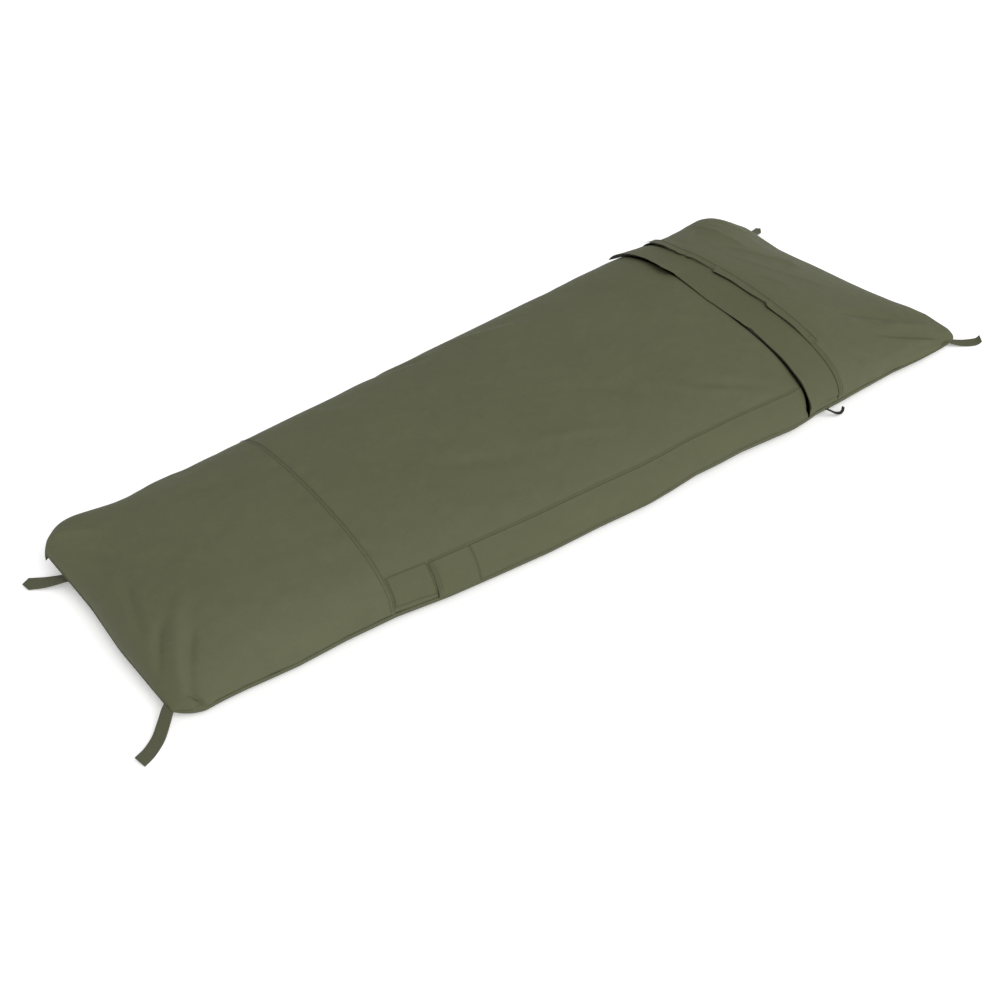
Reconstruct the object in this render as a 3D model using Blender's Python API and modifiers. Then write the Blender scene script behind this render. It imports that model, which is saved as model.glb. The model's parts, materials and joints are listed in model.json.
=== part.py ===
"""Hooded bivy sack: a waterproof sleeping-bag cover lying flat, head towards +X, zip side towards -Y.

Metres, +Z up. The origin is the middle of the floor, on the ground.
Every cloth panel is a sheet laid on one crowned bag surface and thickened towards the inside.
"""
import math

import bmesh
import bpy
from mathutils import Vector

# Driving dimensions of the bag
FOOT_X = -1.125
HEAD_X = 1.140
FOOT_HALF_WIDTH = 0.285
ZIP_FOOT_HALF_WIDTH = 0.325
CHEST_HALF_WIDTH = 0.405
HEAD_HALF_WIDTH = 0.398
CROWN = 0.130
SEAM_HEIGHT = 0.035
HEAD_SEAM_HEIGHT = 0.018
ROUNDNESS = 2.4
FACETS = 24
END_CROWDING = 1.8

# Places along the bag
FOOT_SEAM_X = -0.610
STRAIGHT_START_X = -0.600
ZIP_FOOT_X = -0.500
SIDE_FLAP_END_X = -0.400
SIDE_FLAP_HEAD_X = 0.550
STRAIGHT_END_X = 0.590
PLACKET_WIDTH = 0.022

# Cloth and gaps
CLOTH = 0.0012
TAPE = 0.0008
GAP = 0.0005
PERIMETER_GAP = 0.003
FLAP_LIFT = 0.0045
PLACKET_LIFT = 0.0066
PAD = 0.0012
ENTRY_GAP = 0.010
ZIP_DEPTH = 0.009
TOOTH_HEIGHT = 0.0022
TAPE_CLEARANCE = 0.0020
JOIN_DISTANCE = 0.00005

# Seams, hems and strips: angles up the bag's section, and distances from the line they follow
FLAP_LOW_ANGLE = 0.10
STORM_ANGLE_ENDS = (0.13, math.pi - 0.30)
PATCH_LOW_ANGLE = 0.07
SEAM_TAPE_ANGLE = 0.10
HOOD_TAPE_ANGLE = 0.12
SEAM_TAPE_HALF_WIDTH = 0.011
HOOD_TAPE_REACH = (-0.010, 0.012)
STORM_HINGE_CLEARANCE = 0.006
PAD_PLACES_Y = (-0.30, 0.0, 0.26)
PAD_HALF_LENGTH = 0.020
PAD_REACH = (0.010, 0.035)
PAD_CLEARANCE = 0.0004
CHEST_ZIP_FAR_Y = 0.115
CHEST_ZIP_NEAR_ANGLE = 0.03
CHEST_FOOT_TAPE = (-0.026, -0.002)
CHEST_FOOT_TEETH = (0.0015, 0.0040)
CHEST_HEAD_TEETH = (0.0045, 0.0070)
CHEST_HEAD_TAPE = (0.009, 0.034)
HALF_TOOTH_ANGLE = 0.019
TOOTH_GAP_ANGLE = 0.0059
TOOTH_RISE = 0.0007
TOOTH_SINK = 0.0002
ZIP_START_CLEARANCE = 0.012
SLIDER_CLEARANCE = 0.004
BOTTOM_STOP = (0.004, 0.010)
BOTTOM_STOP_HEIGHT = 0.003
SLIDER_HEIGHT = 0.0024
SLIDER_LIFT = 0.0025
PULL_HEIGHT = 0.0012
PULL_LIFT = 0.0047
SLIDER_BEVEL = 0.0005
PULL_BEVEL = 0.0003

# Lines on the bag, as places across it (Y, from the zip side to the far side)
SIDE_SEAM_Y_AT_CHEST = -0.356
DIAGONAL_FOOT = Vector((-0.500, -0.262, 0.170))
DIAGONAL_HEAD = Vector((0.600, 0.160, 0.170))
STORM_EDGE = ((-0.41, 0.596), (-0.30, 0.602), (0.0, 0.614), (0.18, 0.640), (0.41, 0.646))
PLACKET_EDGE = ((-0.41, 0.700), (-0.20, 0.708), (0.0, 0.716), (0.25, 0.716), (0.41, 0.748))
PLACKET_ENDS_Y = (-0.285, 0.300)

# Joint axes that the moving cloth is built around
STORM_HINGE = Vector((0.722, 0.0, 0.174))
PLACKET_HINGE = Vector((0.742, 0.0, 0.178))

SLIDER_X = 0.573
SLIDER_LENGTH = 0.013
SLIDER_WIDTH = 0.009
PULL_LENGTH = 0.019
PULL_WIDTH = 0.006

LOOP_THICKNESS = 0.0026
LOOPS = {
    # name: (foot of the loop x, y), heading in degrees, length, width, height of its seam, colour
    "foot_left_loop": ((-1.137, 0.207), 141.0, 0.100, 0.025, 0.026, "webbing"),
    "foot_right_loop": ((-1.135, -0.270), 214.0, 0.105, 0.025, 0.026, "webbing"),
    "head_right_loop": ((1.151, -0.372), -36.0, 0.095, 0.025, 0.012, "webbing"),
    "head_left_loop": ((1.146, 0.325), 12.0, 0.050, 0.025, 0.012, "webbing"),
    "side_loop": ((0.668, -0.412), -42.0, 0.055, 0.008, 0.026, "black_tape"),
}

COLOURS = {
    "shell": ((0.114, 0.119, 0.068), 0.62, 0.0),
    "floor": ((0.100, 0.106, 0.062), 0.55, 0.0),
    "flap": ((0.118, 0.123, 0.071), 0.62, 0.0),
    "webbing": ((0.063, 0.064, 0.038), 0.80, 0.0),
    "black_tape": ((0.012, 0.012, 0.012), 0.75, 0.0),
    "zip_tape": ((0.020, 0.021, 0.016), 0.80, 0.0),
    "zip_teeth": ((0.015, 0.016, 0.014), 0.40, 0.0),
    "slider": ((0.030, 0.030, 0.031), 0.35, 1.0),
    "hook_pad": ((0.030, 0.032, 0.022), 0.85, 0.0),
    "loop_pad": ((0.036, 0.038, 0.027), 0.95, 0.0),
    "seam_tape": ((0.20, 0.205, 0.185), 0.45, 0.0),
}


def between(stops, place):
    """The value at a place, from stops of (place, value) joined by straight lines."""
    if place <= stops[0][0]:
        return stops[0][1]
    for (low, low_value), (high, high_value) in zip(stops, stops[1:]):
        if place <= high:
            return low_value + (high_value - low_value) * (place - low) / (high - low)
    return stops[-1][1]


def signed_power(value, power):
    """A power that keeps the sign."""
    return math.copysign(abs(value) ** power, value)


def along(x):
    """Where x lies between the bag's ends, from -1 at the foot to 1 at the head."""
    return (2.0 * x - HEAD_X - FOOT_X) / (HEAD_X - FOOT_X)


def half_width(x):
    """Half the bag's width at its perimeter seam."""
    stops = ((FOOT_X, FOOT_HALF_WIDTH), (STRAIGHT_START_X, ZIP_FOOT_HALF_WIDTH),
             (STRAIGHT_END_X, CHEST_HALF_WIDTH), (HEAD_X, HEAD_HALF_WIDTH))
    return between(stops, x) * (1.0 - 0.10 * abs(along(x)) ** 18)


def crown(x):
    """Height of the bag's top above its perimeter seam."""
    stops = ((FOOT_X, 0.105), (-0.90, 0.134), (STRAIGHT_START_X, CROWN), (0.76, CROWN),
             (0.84, 0.114), (0.96, 0.082), (HEAD_X, 0.030))
    return between(stops, x)


def seam_height(x):
    """Height of the perimeter seam above the ground."""
    return between(((FOOT_X, SEAM_HEIGHT), (0.80, SEAM_HEIGHT), (HEAD_X, HEAD_SEAM_HEIGHT)), x)


def on_section(x, angle):
    """A point of the rounded section: angle 0 is the zip side's seam, pi the far side's."""
    end = max(0.0, 1.0 - abs(along(x)) ** 14) ** 0.45
    y = -half_width(x) * signed_power(math.cos(angle), 2.0 / ROUNDNESS)
    rise = crown(x) * end * abs(math.sin(angle)) ** (2.0 / ROUNDNESS)
    return Vector((x, y, seam_height(x) + PERIMETER_GAP + rise))


def on_top(x, angle):
    """A point of the bag's top surface, which is flat between FACETS equal angles."""
    step = math.pi / FACETS
    facet = min(int(angle / step), FACETS - 1)
    return on_section(x, facet * step).lerp(on_section(x, (facet + 1) * step), angle / step - facet)


def angle_at(x, y):
    """The angle at which the top surface has this y."""
    low, high = 0.0, math.pi
    for _ in range(40):
        middle = 0.5 * (low + high)
        if on_top(x, middle).y < y:
            low = middle
        else:
            high = middle
    return low


def lifted(x, angle, lift):
    """A point of the top surface, moved along the section's outward direction."""
    step = 0.004
    before = on_top(x, max(1e-4, angle - step))
    after = on_top(x, min(math.pi - 1e-4, angle + step))
    side = (after - before).normalized()
    return on_top(x, angle) + Vector((0.0, -side.z, side.y)) * lift


def on_floor(x, angle):
    """A point of the floor's underside, flat in the middle and turned up to the seam."""
    end = max(0.0, 1.0 - abs(along(x)) ** 30) ** 0.5
    turned = max(0.0, 1.0 - 1.9 * end * abs(math.sin(angle)) ** (2.0 / ROUNDNESS))
    return Vector((x, on_top(x, angle).y, seam_height(x) * turned))


SIDE_SEAM_ANGLE = angle_at(0.452, SIDE_SEAM_Y_AT_CHEST)
ZIP_LINE_ANGLE = 0.42 * SIDE_SEAM_ANGLE
FAR_ANGLE = math.pi


def collection(name):
    """The collection of this name, linked to the scene."""
    made = bpy.data.collections.new(name)
    bpy.context.scene.collection.children.link(made)
    return made


def material(name):
    """A Principled material in one of the sack's colours."""
    found = bpy.data.materials.get(name)
    if found:
        return found
    colour, roughness, metallic = COLOURS[name]
    made = bpy.data.materials.new(name)
    made.use_nodes = True
    shader = made.node_tree.nodes["Principled BSDF"]
    shader.inputs["Base Color"].default_value = (*colour, 1.0)
    shader.inputs["Roughness"].default_value = roughness
    shader.inputs["Metallic"].default_value = metallic
    return made


def pivot(name, place, group, parent=None):
    """An empty on a joint's axis, which the moving piece hangs from."""
    empty = bpy.data.objects.new(name, None)
    empty.location = place if parent is None else place - parent.location
    empty.empty_display_size = 0.05
    empty.parent = parent
    group.objects.link(empty)
    return empty


def add_mesh(name, mesh_maker, colour, group, parent=None):
    """A named object from a bmesh, with its origin on its parent."""
    mesh = bpy.data.meshes.new(name)
    mesh_maker.to_mesh(mesh)
    mesh_maker.free()
    made = bpy.data.objects.new(name, mesh)
    made.data.materials.append(material(colour))
    group.objects.link(made)
    if parent is not None:
        origin = Vector(parent.location)
        if parent.parent is not None:
            origin += parent.parent.location
        for vertex in mesh.vertices:
            vertex.co -= origin
        made.parent = parent
    mesh.shade_smooth()
    mesh.set_sharp_from_angle(angle=math.radians(40))
    return made


def thicken(made, thickness, offset=-1.0):
    """Gives a sheet its thickness, towards the inside of the bag."""
    solid = made.modifiers.new("thickness", "SOLIDIFY")
    solid.thickness = thickness
    solid.offset = offset


def sheet(name, place, steps, colour, group, parent=None, thickness=CLOTH, offset=-1.0,
          skip=None):
    """A sheet of cloth: a grid whose corners run over (0..1, 0..1), laid down by place(u, v).

    Cells whose middle passes skip(u, v) are left out, and points laid on each other are joined.
    """
    grid = bmesh.new()
    bmesh.ops.create_grid(grid, x_segments=steps[0], y_segments=steps[1], size=0.5)
    if skip is not None:
        middles = {face: face.calc_center_median() for face in grid.faces}
        unused = [face for face, middle in middles.items() if skip(middle.x + 0.5, middle.y + 0.5)]
        bmesh.ops.delete(grid, geom=unused, context="FACES")
    for vertex in grid.verts:
        vertex.co = place(vertex.co.x + 0.5, vertex.co.y + 0.5)
    bmesh.ops.remove_doubles(grid, verts=grid.verts, dist=JOIN_DISTANCE)
    made = add_mesh(name, grid, colour, group, parent)
    thicken(made, thickness, offset)
    return made


def patch(name, x_ends, angle_ends, lift, x_steps, colour, group, parent=None, thickness=CLOTH):
    """A strip between two x lines, which may be functions of y, and two angles.

    Its rows follow the bag's facets, so strips on one another keep their distance.
    """
    step = math.pi / FACETS
    inner = [k * step for k in range(FACETS + 1)
             if angle_ends[0] + 0.004 < k * step < angle_ends[1] - 0.004]
    angles = [angle_ends[0], *inner, angle_ends[1]]

    def place(u, v):
        angle = angles[round(v * (len(angles) - 1))]
        y = on_top(0.65, angle).y
        low, high = (end(y) if callable(end) else end for end in x_ends)
        return lifted(low + (high - low) * u, angle, lift)
    sheet(name, place, (x_steps, len(angles) - 1), colour, group, parent, thickness)


def storm_edge(y):
    """The storm flap's free edge."""
    return between(STORM_EDGE, y)


def placket_edge(y):
    """The line where the hood's placket meets the storm flap."""
    return between(PLACKET_EDGE, y)


def entry_edge(y):
    """The head edge of the body cloth, just short of the storm flap."""
    return storm_edge(y) - ENTRY_GAP


def beside(line, reach):
    """A line at a distance from another, towards the head."""
    return lambda y: line(y) + reach


def diagonal_y(x):
    """The fold line of the entry corner in plan."""
    share = (x - DIAGONAL_FOOT.x) / (DIAGONAL_HEAD.x - DIAGONAL_FOOT.x)
    return DIAGONAL_FOOT.y + (DIAGONAL_HEAD.y - DIAGONAL_FOOT.y) * share


def entry_head_x(angle):
    """The head edge of the body cloth at an angle of the section."""
    return entry_edge(on_top(0.60, angle).y)


def make_floor(group):
    """The floor, a shallow tub that turns up to the perimeter seam."""
    middle = 0.5 * (FOOT_X + HEAD_X)
    half = 0.5 * (HEAD_X - FOOT_X)

    def place(u, v):
        t = 2.0 * u - 1.0
        x = middle + half * math.copysign(1.0 - (1.0 - abs(t)) ** END_CROWDING, t)
        return on_floor(x, math.pi * v)
    sheet("floor_panel", place, (25, FACETS), "floor", group, offset=1.0)


def make_foot(group):
    """The foot section, closed round the feet."""
    def place(u, v):
        x = FOOT_X + (FOOT_SEAM_X - GAP - FOOT_X) * u ** END_CROWDING
        return on_top(x, FAR_ANGLE * v)
    sheet("foot_panel", place, (14, FACETS), "shell", group)


def make_hood(group):
    """The hood section over the head end."""
    def place(u, v):
        angle = FAR_ANGLE * v
        start = placket_edge(on_top(0.72, angle).y) + GAP
        x = HEAD_X - (HEAD_X - start) * (1.0 - u) ** END_CROWDING
        return on_top(x, angle)
    sheet("hood_panel", place, (14, FACETS), "shell", group)


def make_body(group):
    """The body cloth that stays: the far side, and all of it beside the foot seam."""
    rows, whole_rows = 22, 3
    step = math.pi / FACETS
    last_whole_x = ZIP_FOOT_X - 0.004
    first_angle = angle_at(ZIP_FOOT_X, diagonal_y(ZIP_FOOT_X) + GAP)

    def place(u, v):
        angle = FAR_ANGLE * v
        row = round(u * rows)
        if row <= whole_rows:
            start = FOOT_SEAM_X + GAP
            return on_top(start + (last_whole_x - start) * row / whole_rows, angle)
        share = (row - whole_rows - 1) / (rows - whole_rows - 1)
        return fold_point(share, angle, ZIP_FOOT_X, max, GAP)

    def skip(u, v):
        beside = whole_rows < u * rows < whole_rows + 1
        return beside and FAR_ANGLE * v + 0.5 * step < first_angle
    sheet("body_panel", place, (rows, FACETS), "shell", group, skip=skip)


def fold_point(share, angle, start, choose, gap):
    """A point of the body cloth beside the fold line, which cuts the rows off at its angle."""
    plain_x = start + (STRAIGHT_END_X - start) * share
    angle = choose(angle, angle_at(plain_x, diagonal_y(plain_x) + gap))
    x = start + (entry_head_x(angle) - start) * share
    return on_top(x, choose(angle, angle_at(x, diagonal_y(x) + gap)))


def make_entry_corner(group, leaf):
    """The corner of the body cloth that folds back to open the sack."""
    step = math.pi / FACETS
    top_angle = angle_at(STRAIGHT_END_X, diagonal_y(STRAIGHT_END_X)) + 0.02
    inner = [k * step for k in range(FACETS) if SIDE_SEAM_ANGLE + 0.01 < k * step < top_angle]
    angles = [SIDE_SEAM_ANGLE, *inner, top_angle]

    def place(u, v):
        return fold_point(u, angles[round(v * (len(angles) - 1))], ZIP_FOOT_X + GAP, min, -GAP)
    sheet("entry_corner", place, (18, len(angles) - 1), "shell", group, leaf)


def make_chest(group, storm, placket):
    """The facing across the chest, and the two flaps that cover it."""
    patch("entry_facing", (lambda y: storm_edge(y) - 0.002, lambda y: placket_edge(y) - GAP),
          (0.0, FAR_ANGLE), 0.0, 4, "shell", group)
    straight_end = STORM_HINGE.x - STORM_HINGE_CLEARANCE
    patch("storm_flap", (storm_edge, lambda y: min(placket_edge(y) - 0.002, straight_end)),
          STORM_ANGLE_ENDS, FLAP_LIFT, 4, "flap", group, storm)
    ends = tuple(angle_at(0.65, y) for y in PLACKET_ENDS_Y)
    patch("hood_placket", (placket_edge, lambda y: placket_edge(y) + PLACKET_WIDTH),
          ends, PLACKET_LIFT, 2, "flap", group, placket)


def make_chest_pads(group, storm):
    """Hook pads on the storm flap and the loop pads they close onto."""
    for number, y in enumerate(PAD_PLACES_Y, 1):
        middle = angle_at(0.65, y)
        spread = abs(angle_at(0.65, y + PAD_HALF_LENGTH) - angle_at(0.65, y - PAD_HALF_LENGTH)) / 2.0
        ends = tuple(beside(storm_edge, reach) for reach in PAD_REACH)
        angles = (middle - spread, middle + spread)
        patch(f"storm_flap_hook_{number}", ends, angles, FLAP_LIFT - CLOTH - PAD_CLEARANCE, 2,
              "hook_pad", group, storm, PAD)
        patch(f"storm_flap_loop_{number}", ends, angles, PAD + PAD_CLEARANCE, 2, "loop_pad", group,
              None, PAD)


def make_chest_zip(group, leaf):
    """The part of the zip that runs across the chest, under the storm flap."""
    angles = (SIDE_SEAM_ANGLE + CHEST_ZIP_NEAR_ANGLE, angle_at(0.60, CHEST_ZIP_FAR_Y))
    foot_tape, foot_teeth, head_teeth, head_tape = (
        tuple(beside(entry_edge, reach) for reach in reaches)
        for reaches in (CHEST_FOOT_TAPE, CHEST_FOOT_TEETH, CHEST_HEAD_TEETH, CHEST_HEAD_TAPE))
    patch("chest_zip_foot_tape", foot_tape, angles, -CLOTH - TAPE_CLEARANCE, 2, "zip_tape", group,
          leaf, TAPE)
    patch("chest_zip_foot_teeth", foot_teeth, angles, -TOOTH_SINK, 1, "zip_teeth", group, leaf,
          TOOTH_HEIGHT)
    patch("chest_zip_head_teeth", head_teeth, angles, -TOOTH_SINK, 1, "zip_teeth", group, None,
          TOOTH_HEIGHT)
    patch("chest_zip_head_tape", head_tape, angles, -CLOTH - PAD_CLEARANCE, 2, "zip_tape", group,
          None, TAPE)


def make_side_flap(group, leaf, side):
    """The long flap that hangs over the side zip, and its foot end, which is sewn down."""
    angles = (FLAP_LOW_ANGLE, SIDE_SEAM_ANGLE - 0.012)
    patch("side_flap", (SIDE_FLAP_END_X + GAP, SIDE_FLAP_HEAD_X), angles, 0.0, 14, "flap", group,
          side)
    patch("side_flap_end", (ZIP_FOOT_X + 0.002, SIDE_FLAP_END_X - GAP), angles, 0.0, 2, "flap",
          group, leaf)


def make_zip_patch(group):
    """The reinforcing patch at the foot end of the zip."""
    patch("zip_end_patch", (FOOT_SEAM_X + 0.006, ZIP_FOOT_X - 0.010),
          (PATCH_LOW_ANGLE, SIDE_SEAM_ANGLE + 0.02), CLOTH + PAD_CLEARANCE, 3, "flap", group)


def make_side_zip(group, leaf, slide, pull):
    """The zip down the side: tapes, teeth, stops, the slider and its pull."""
    ends = (ZIP_FOOT_X + ZIP_START_CLEARANCE, SLIDER_X - 0.5 * SLIDER_LENGTH - SLIDER_CLEARANCE)
    line = ZIP_LINE_ANGLE
    row, tape = 2.0 * HALF_TOOTH_ANGLE, 2.4 * HALF_TOOTH_ANGLE
    patch("side_zip_upper_tape", ends, (line + tape, SIDE_SEAM_ANGLE - 0.02),
          -ZIP_DEPTH, 14, "zip_tape", group, leaf, TAPE)
    patch("side_zip_upper_teeth", ends, (line + TOOTH_GAP_ANGLE, line + row),
          -ZIP_DEPTH + TOOTH_RISE, 14, "zip_teeth", group, leaf, TOOTH_HEIGHT)
    patch("side_zip_lower_teeth", ends, (line - row, line - TOOTH_GAP_ANGLE),
          -ZIP_DEPTH + TOOTH_RISE, 14, "zip_teeth", group, None, TOOTH_HEIGHT)
    patch("side_zip_lower_tape", ends, (FLAP_LOW_ANGLE, line - tape),
          -ZIP_DEPTH, 14, "zip_tape", group, None, TAPE)
    patch("side_zip_bottom_stop", tuple(ZIP_FOOT_X + reach for reach in BOTTOM_STOP),
          (line - row, line + row), -ZIP_DEPTH + 0.001, 1, "slider", group, None,
          BOTTOM_STOP_HEIGHT)
    make_slider(group, slide, pull)


def zip_frame(x, lift):
    """A point on the zip line with its along, up-the-side and outward directions."""
    origin = lifted(x, ZIP_LINE_ANGLE, lift)
    lengthwise = (lifted(x + 0.01, ZIP_LINE_ANGLE, lift) - origin).normalized()
    up = (lifted(x, ZIP_LINE_ANGLE + 0.02, lift) - origin).normalized()
    outward = lengthwise.cross(up).normalized()
    up = outward.cross(lengthwise)
    return origin, lengthwise, up, outward


def block(name, centre, axes, size, bevel, colour, group, parent):
    """A bevelled block with its sides along three given directions."""
    cube = bmesh.new()
    bmesh.ops.create_cube(cube, size=1.0)
    bmesh.ops.scale(cube, vec=size, verts=cube.verts)
    bmesh.ops.bevel(cube, geom=cube.edges, offset=bevel, segments=1, affect="EDGES")
    for vertex in cube.verts:
        place = vertex.co.copy()
        vertex.co = centre + axes[0] * place.x + axes[1] * place.y + axes[2] * place.z
    return add_mesh(name, cube, colour, group, parent)


def make_slider(group, slide, pull):
    """The slider's body, which rides on the outside of the teeth, and its pull."""
    origin, lengthwise, up, outward = zip_frame(SLIDER_X, -ZIP_DEPTH)
    axes = (lengthwise, up, outward)
    block("side_zip_slider", origin + outward * SLIDER_LIFT, axes,
          (SLIDER_LENGTH, SLIDER_WIDTH, SLIDER_HEIGHT), SLIDER_BEVEL, "slider", group, slide)
    centre = origin + outward * PULL_LIFT + lengthwise * (0.5 * PULL_LENGTH)
    block("side_zip_pull", centre, axes, (PULL_LENGTH, PULL_WIDTH, PULL_HEIGHT), PULL_BEVEL,
          "slider", group, pull)


def make_seam_tapes(group):
    """Waterproofing tapes inside the foot seam and under the hood's edge."""
    inside = -CLOTH - TAPE_CLEARANCE
    patch("foot_seam_tape", (FOOT_SEAM_X - SEAM_TAPE_HALF_WIDTH, FOOT_SEAM_X + SEAM_TAPE_HALF_WIDTH),
          (SEAM_TAPE_ANGLE, FAR_ANGLE - SEAM_TAPE_ANGLE), inside, 2, "seam_tape", group, None, TAPE)
    ends = tuple(beside(placket_edge, reach) for reach in HOOD_TAPE_REACH)
    patch("hood_seam_tape", ends, (HOOD_TAPE_ANGLE, FAR_ANGLE - HOOD_TAPE_ANGLE), inside, 2,
          "seam_tape", group, None, TAPE)


def make_loop(name, group, root):
    """A doubled tape loop pressed flat, sewn into the seam and lying out on the ground."""
    foot, heading, length, width, seam, colour = LOOPS[name]
    out = Vector((math.cos(math.radians(heading)), math.sin(math.radians(heading)), 0.0))
    across = Vector((-out.y, out.x, 0.0))
    lowest = 0.5 * LOOP_THICKNESS + 0.0003
    run = 1.6 * seam

    def place(u, v):
        reach = length * u
        fall = min(1.0, reach / run)
        height = lowest + (seam - lowest) * 0.5 * (1.0 + math.cos(math.pi * fall))
        taper = 1.0 if u < 0.86 else 1.0 - 0.55 * (u - 0.86) / 0.14
        return Vector((*foot, height)) + out * reach + across * (width * (v - 0.5) * taper)
    sheet(name, place, (12, 2), colour, group, root, LOOP_THICKNESS, 0.0)


def main():
    """Builds the whole sack."""
    for old in list(bpy.data.objects):
        bpy.data.objects.remove(old, do_unlink=True)
    group = collection("bivy_sack")

    leaf = pivot("entry_corner_axis", (DIAGONAL_FOOT + DIAGONAL_HEAD) / 2.0, group)
    storm = pivot("storm_flap_axis", STORM_HINGE, group)
    placket = pivot("hood_placket_axis", PLACKET_HINGE, group)
    side = pivot("side_flap_axis", lifted(0.0, SIDE_SEAM_ANGLE, 0.0), group, leaf)
    origin, _, _, outward = zip_frame(SLIDER_X, -ZIP_DEPTH)
    slide = pivot("side_zip_slider_axis", origin, group)
    pull = pivot("side_zip_pull_axis", origin + outward * PULL_LIFT, group, slide)

    make_floor(group)
    make_foot(group)
    make_body(group)
    make_entry_corner(group, leaf)
    make_hood(group)
    make_chest(group, storm, placket)
    make_chest_pads(group, storm)
    make_chest_zip(group, leaf)
    make_side_flap(group, leaf, side)
    make_zip_patch(group)
    make_side_zip(group, leaf, slide, pull)
    make_seam_tapes(group)
    for name, (foot, _, _, _, seam, _) in LOOPS.items():
        make_loop(name, group, pivot(f"{name}_axis", Vector((*foot, seam)), group))


main()
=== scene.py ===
"""Bivy sack: an olive hooded sleeping-bag cover lying filled and flat, with its zips, flaps and pegging loops.

Metres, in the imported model's frame: +X runs from the foot to the head, the zip side faces -Y, the ground is z = 0.
"""
import sys
import json
import logging
import math
from dataclasses import dataclass, field
from enum import Enum
from typing import Any, Callable, Iterable, Sequence

import bpy
import numpy as np
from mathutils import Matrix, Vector

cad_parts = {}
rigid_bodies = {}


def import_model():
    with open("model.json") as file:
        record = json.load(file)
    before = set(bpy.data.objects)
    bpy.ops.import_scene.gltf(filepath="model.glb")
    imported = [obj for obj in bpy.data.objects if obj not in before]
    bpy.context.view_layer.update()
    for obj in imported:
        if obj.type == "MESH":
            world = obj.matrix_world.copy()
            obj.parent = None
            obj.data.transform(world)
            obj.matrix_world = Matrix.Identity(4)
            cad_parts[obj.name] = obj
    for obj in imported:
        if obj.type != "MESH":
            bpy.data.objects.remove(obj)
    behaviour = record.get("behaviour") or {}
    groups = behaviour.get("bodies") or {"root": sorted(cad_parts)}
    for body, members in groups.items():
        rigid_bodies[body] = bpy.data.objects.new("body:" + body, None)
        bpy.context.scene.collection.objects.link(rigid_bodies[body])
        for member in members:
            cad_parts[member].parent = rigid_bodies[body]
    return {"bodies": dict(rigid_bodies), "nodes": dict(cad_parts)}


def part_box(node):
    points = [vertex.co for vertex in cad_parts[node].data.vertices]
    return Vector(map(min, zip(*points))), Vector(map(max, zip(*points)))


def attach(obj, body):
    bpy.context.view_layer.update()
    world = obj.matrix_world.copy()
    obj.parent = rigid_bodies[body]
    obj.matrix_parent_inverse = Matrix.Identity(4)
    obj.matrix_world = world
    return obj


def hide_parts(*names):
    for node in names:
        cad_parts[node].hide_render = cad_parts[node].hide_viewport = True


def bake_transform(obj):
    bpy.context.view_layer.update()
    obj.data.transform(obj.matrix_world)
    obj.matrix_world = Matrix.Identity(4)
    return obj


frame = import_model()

REPORT = logging.getLogger("bivy_sack")

Array = np.ndarray
Stops = tuple[tuple[float, float], ...]
Colour = tuple[float, float, float]
Spot = tuple[float, float]
Line = Callable[[Array], Array]


class Hold(str, Enum):
    """How a sheet of cloth is held."""

    LAID = "laid"
    STRETCHED = "stretched"
    FOLDED = "folded"


class Body(str, Enum):
    """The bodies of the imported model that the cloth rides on."""

    BAG = "root"
    CORNER = "entry_corner"
    STORM = "storm_flap"
    PLACKET = "hood_placket"
    SIDE = "side_flap"


# ---------------------------------------------------------------- numbers

def between(stops: Stops, place: Array) -> Array:
    """Values at places, along straight lines between (place, value) stops."""
    return np.interp(place, [s[0] for s in stops], [s[1] for s in stops])


def ease(low: float, high: float, value: Array) -> Array:
    """A smooth rise from 0 at low to 1 at high."""
    share = np.clip((value - low) / (high - low), 0.0, 1.0)
    return share * share * (3.0 - 2.0 * share)


def hump(value: Array, middle: float, width: float) -> Array:
    """A smooth hump of height 1 round a middle."""
    return np.exp(-((value - middle) / width) ** 2)


def signed_power(value: Array, power: float) -> Array:
    """A power that keeps the sign."""
    return np.sign(value) * np.abs(value) ** power


def unit(vectors: Array) -> Array:
    """Vectors scaled to length 1."""
    return vectors / np.maximum(np.linalg.norm(vectors, axis=-1, keepdims=True), 1e-12)


def soft_noise(rows: int, columns: int, cells: tuple[int, int], seed: int) -> Array:
    """Smooth seeded noise from about -1 to 1 on a grid.

    Args:
        rows: the grid's rows.
        columns: the grid's columns.
        cells: how many humps fit along and across the grid.
        seed: the seed of the noise.

    Returns:
        The noise, rows by columns.
    """
    coarse = np.random.default_rng(seed).uniform(-1.0, 1.0, (cells[0] + 4, cells[1] + 4))
    grid = coarse[..., None]
    at = np.meshgrid(np.linspace(1.0, cells[0] + 1.0, rows), np.linspace(1.0, cells[1] + 1.0, columns),
                     indexing="ij")
    return read_grid(grid, at[0], at[1])[..., 0]


def read_grid(grid: Array, row: Array, column: Array) -> Array:
    """Reads a grid of vectors between its points, on smooth cubic curves.

    Args:
        grid: rows by columns by channels.
        row: rows to read at, as fractions.
        column: columns to read at, as fractions.

    Returns:
        The values, in the shape of row plus the channels.
    """
    def weights(t: Array) -> tuple[Array, ...]:
        return (0.5 * (-t + 2 * t ** 2 - t ** 3), 0.5 * (2 - 5 * t ** 2 + 3 * t ** 3),
                0.5 * (t + 4 * t ** 2 - 3 * t ** 3), 0.5 * (t ** 3 - t ** 2))
    rows, columns = grid.shape[:2]
    row, column = np.clip(row, 0, rows - 1.0001), np.clip(column, 0, columns - 1.0001)
    low_row, low_column = np.floor(row).astype(int), np.floor(column).astype(int)
    total = np.zeros(np.shape(row) + grid.shape[2:])
    for i, row_weight in enumerate(weights(row - low_row)):
        for j, column_weight in enumerate(weights(column - low_column)):
            cell = grid[np.clip(low_row + i - 1, 0, rows - 1), np.clip(low_column + j - 1, 0, columns - 1)]
            total += (row_weight * column_weight)[..., None] * cell
    return total


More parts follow.
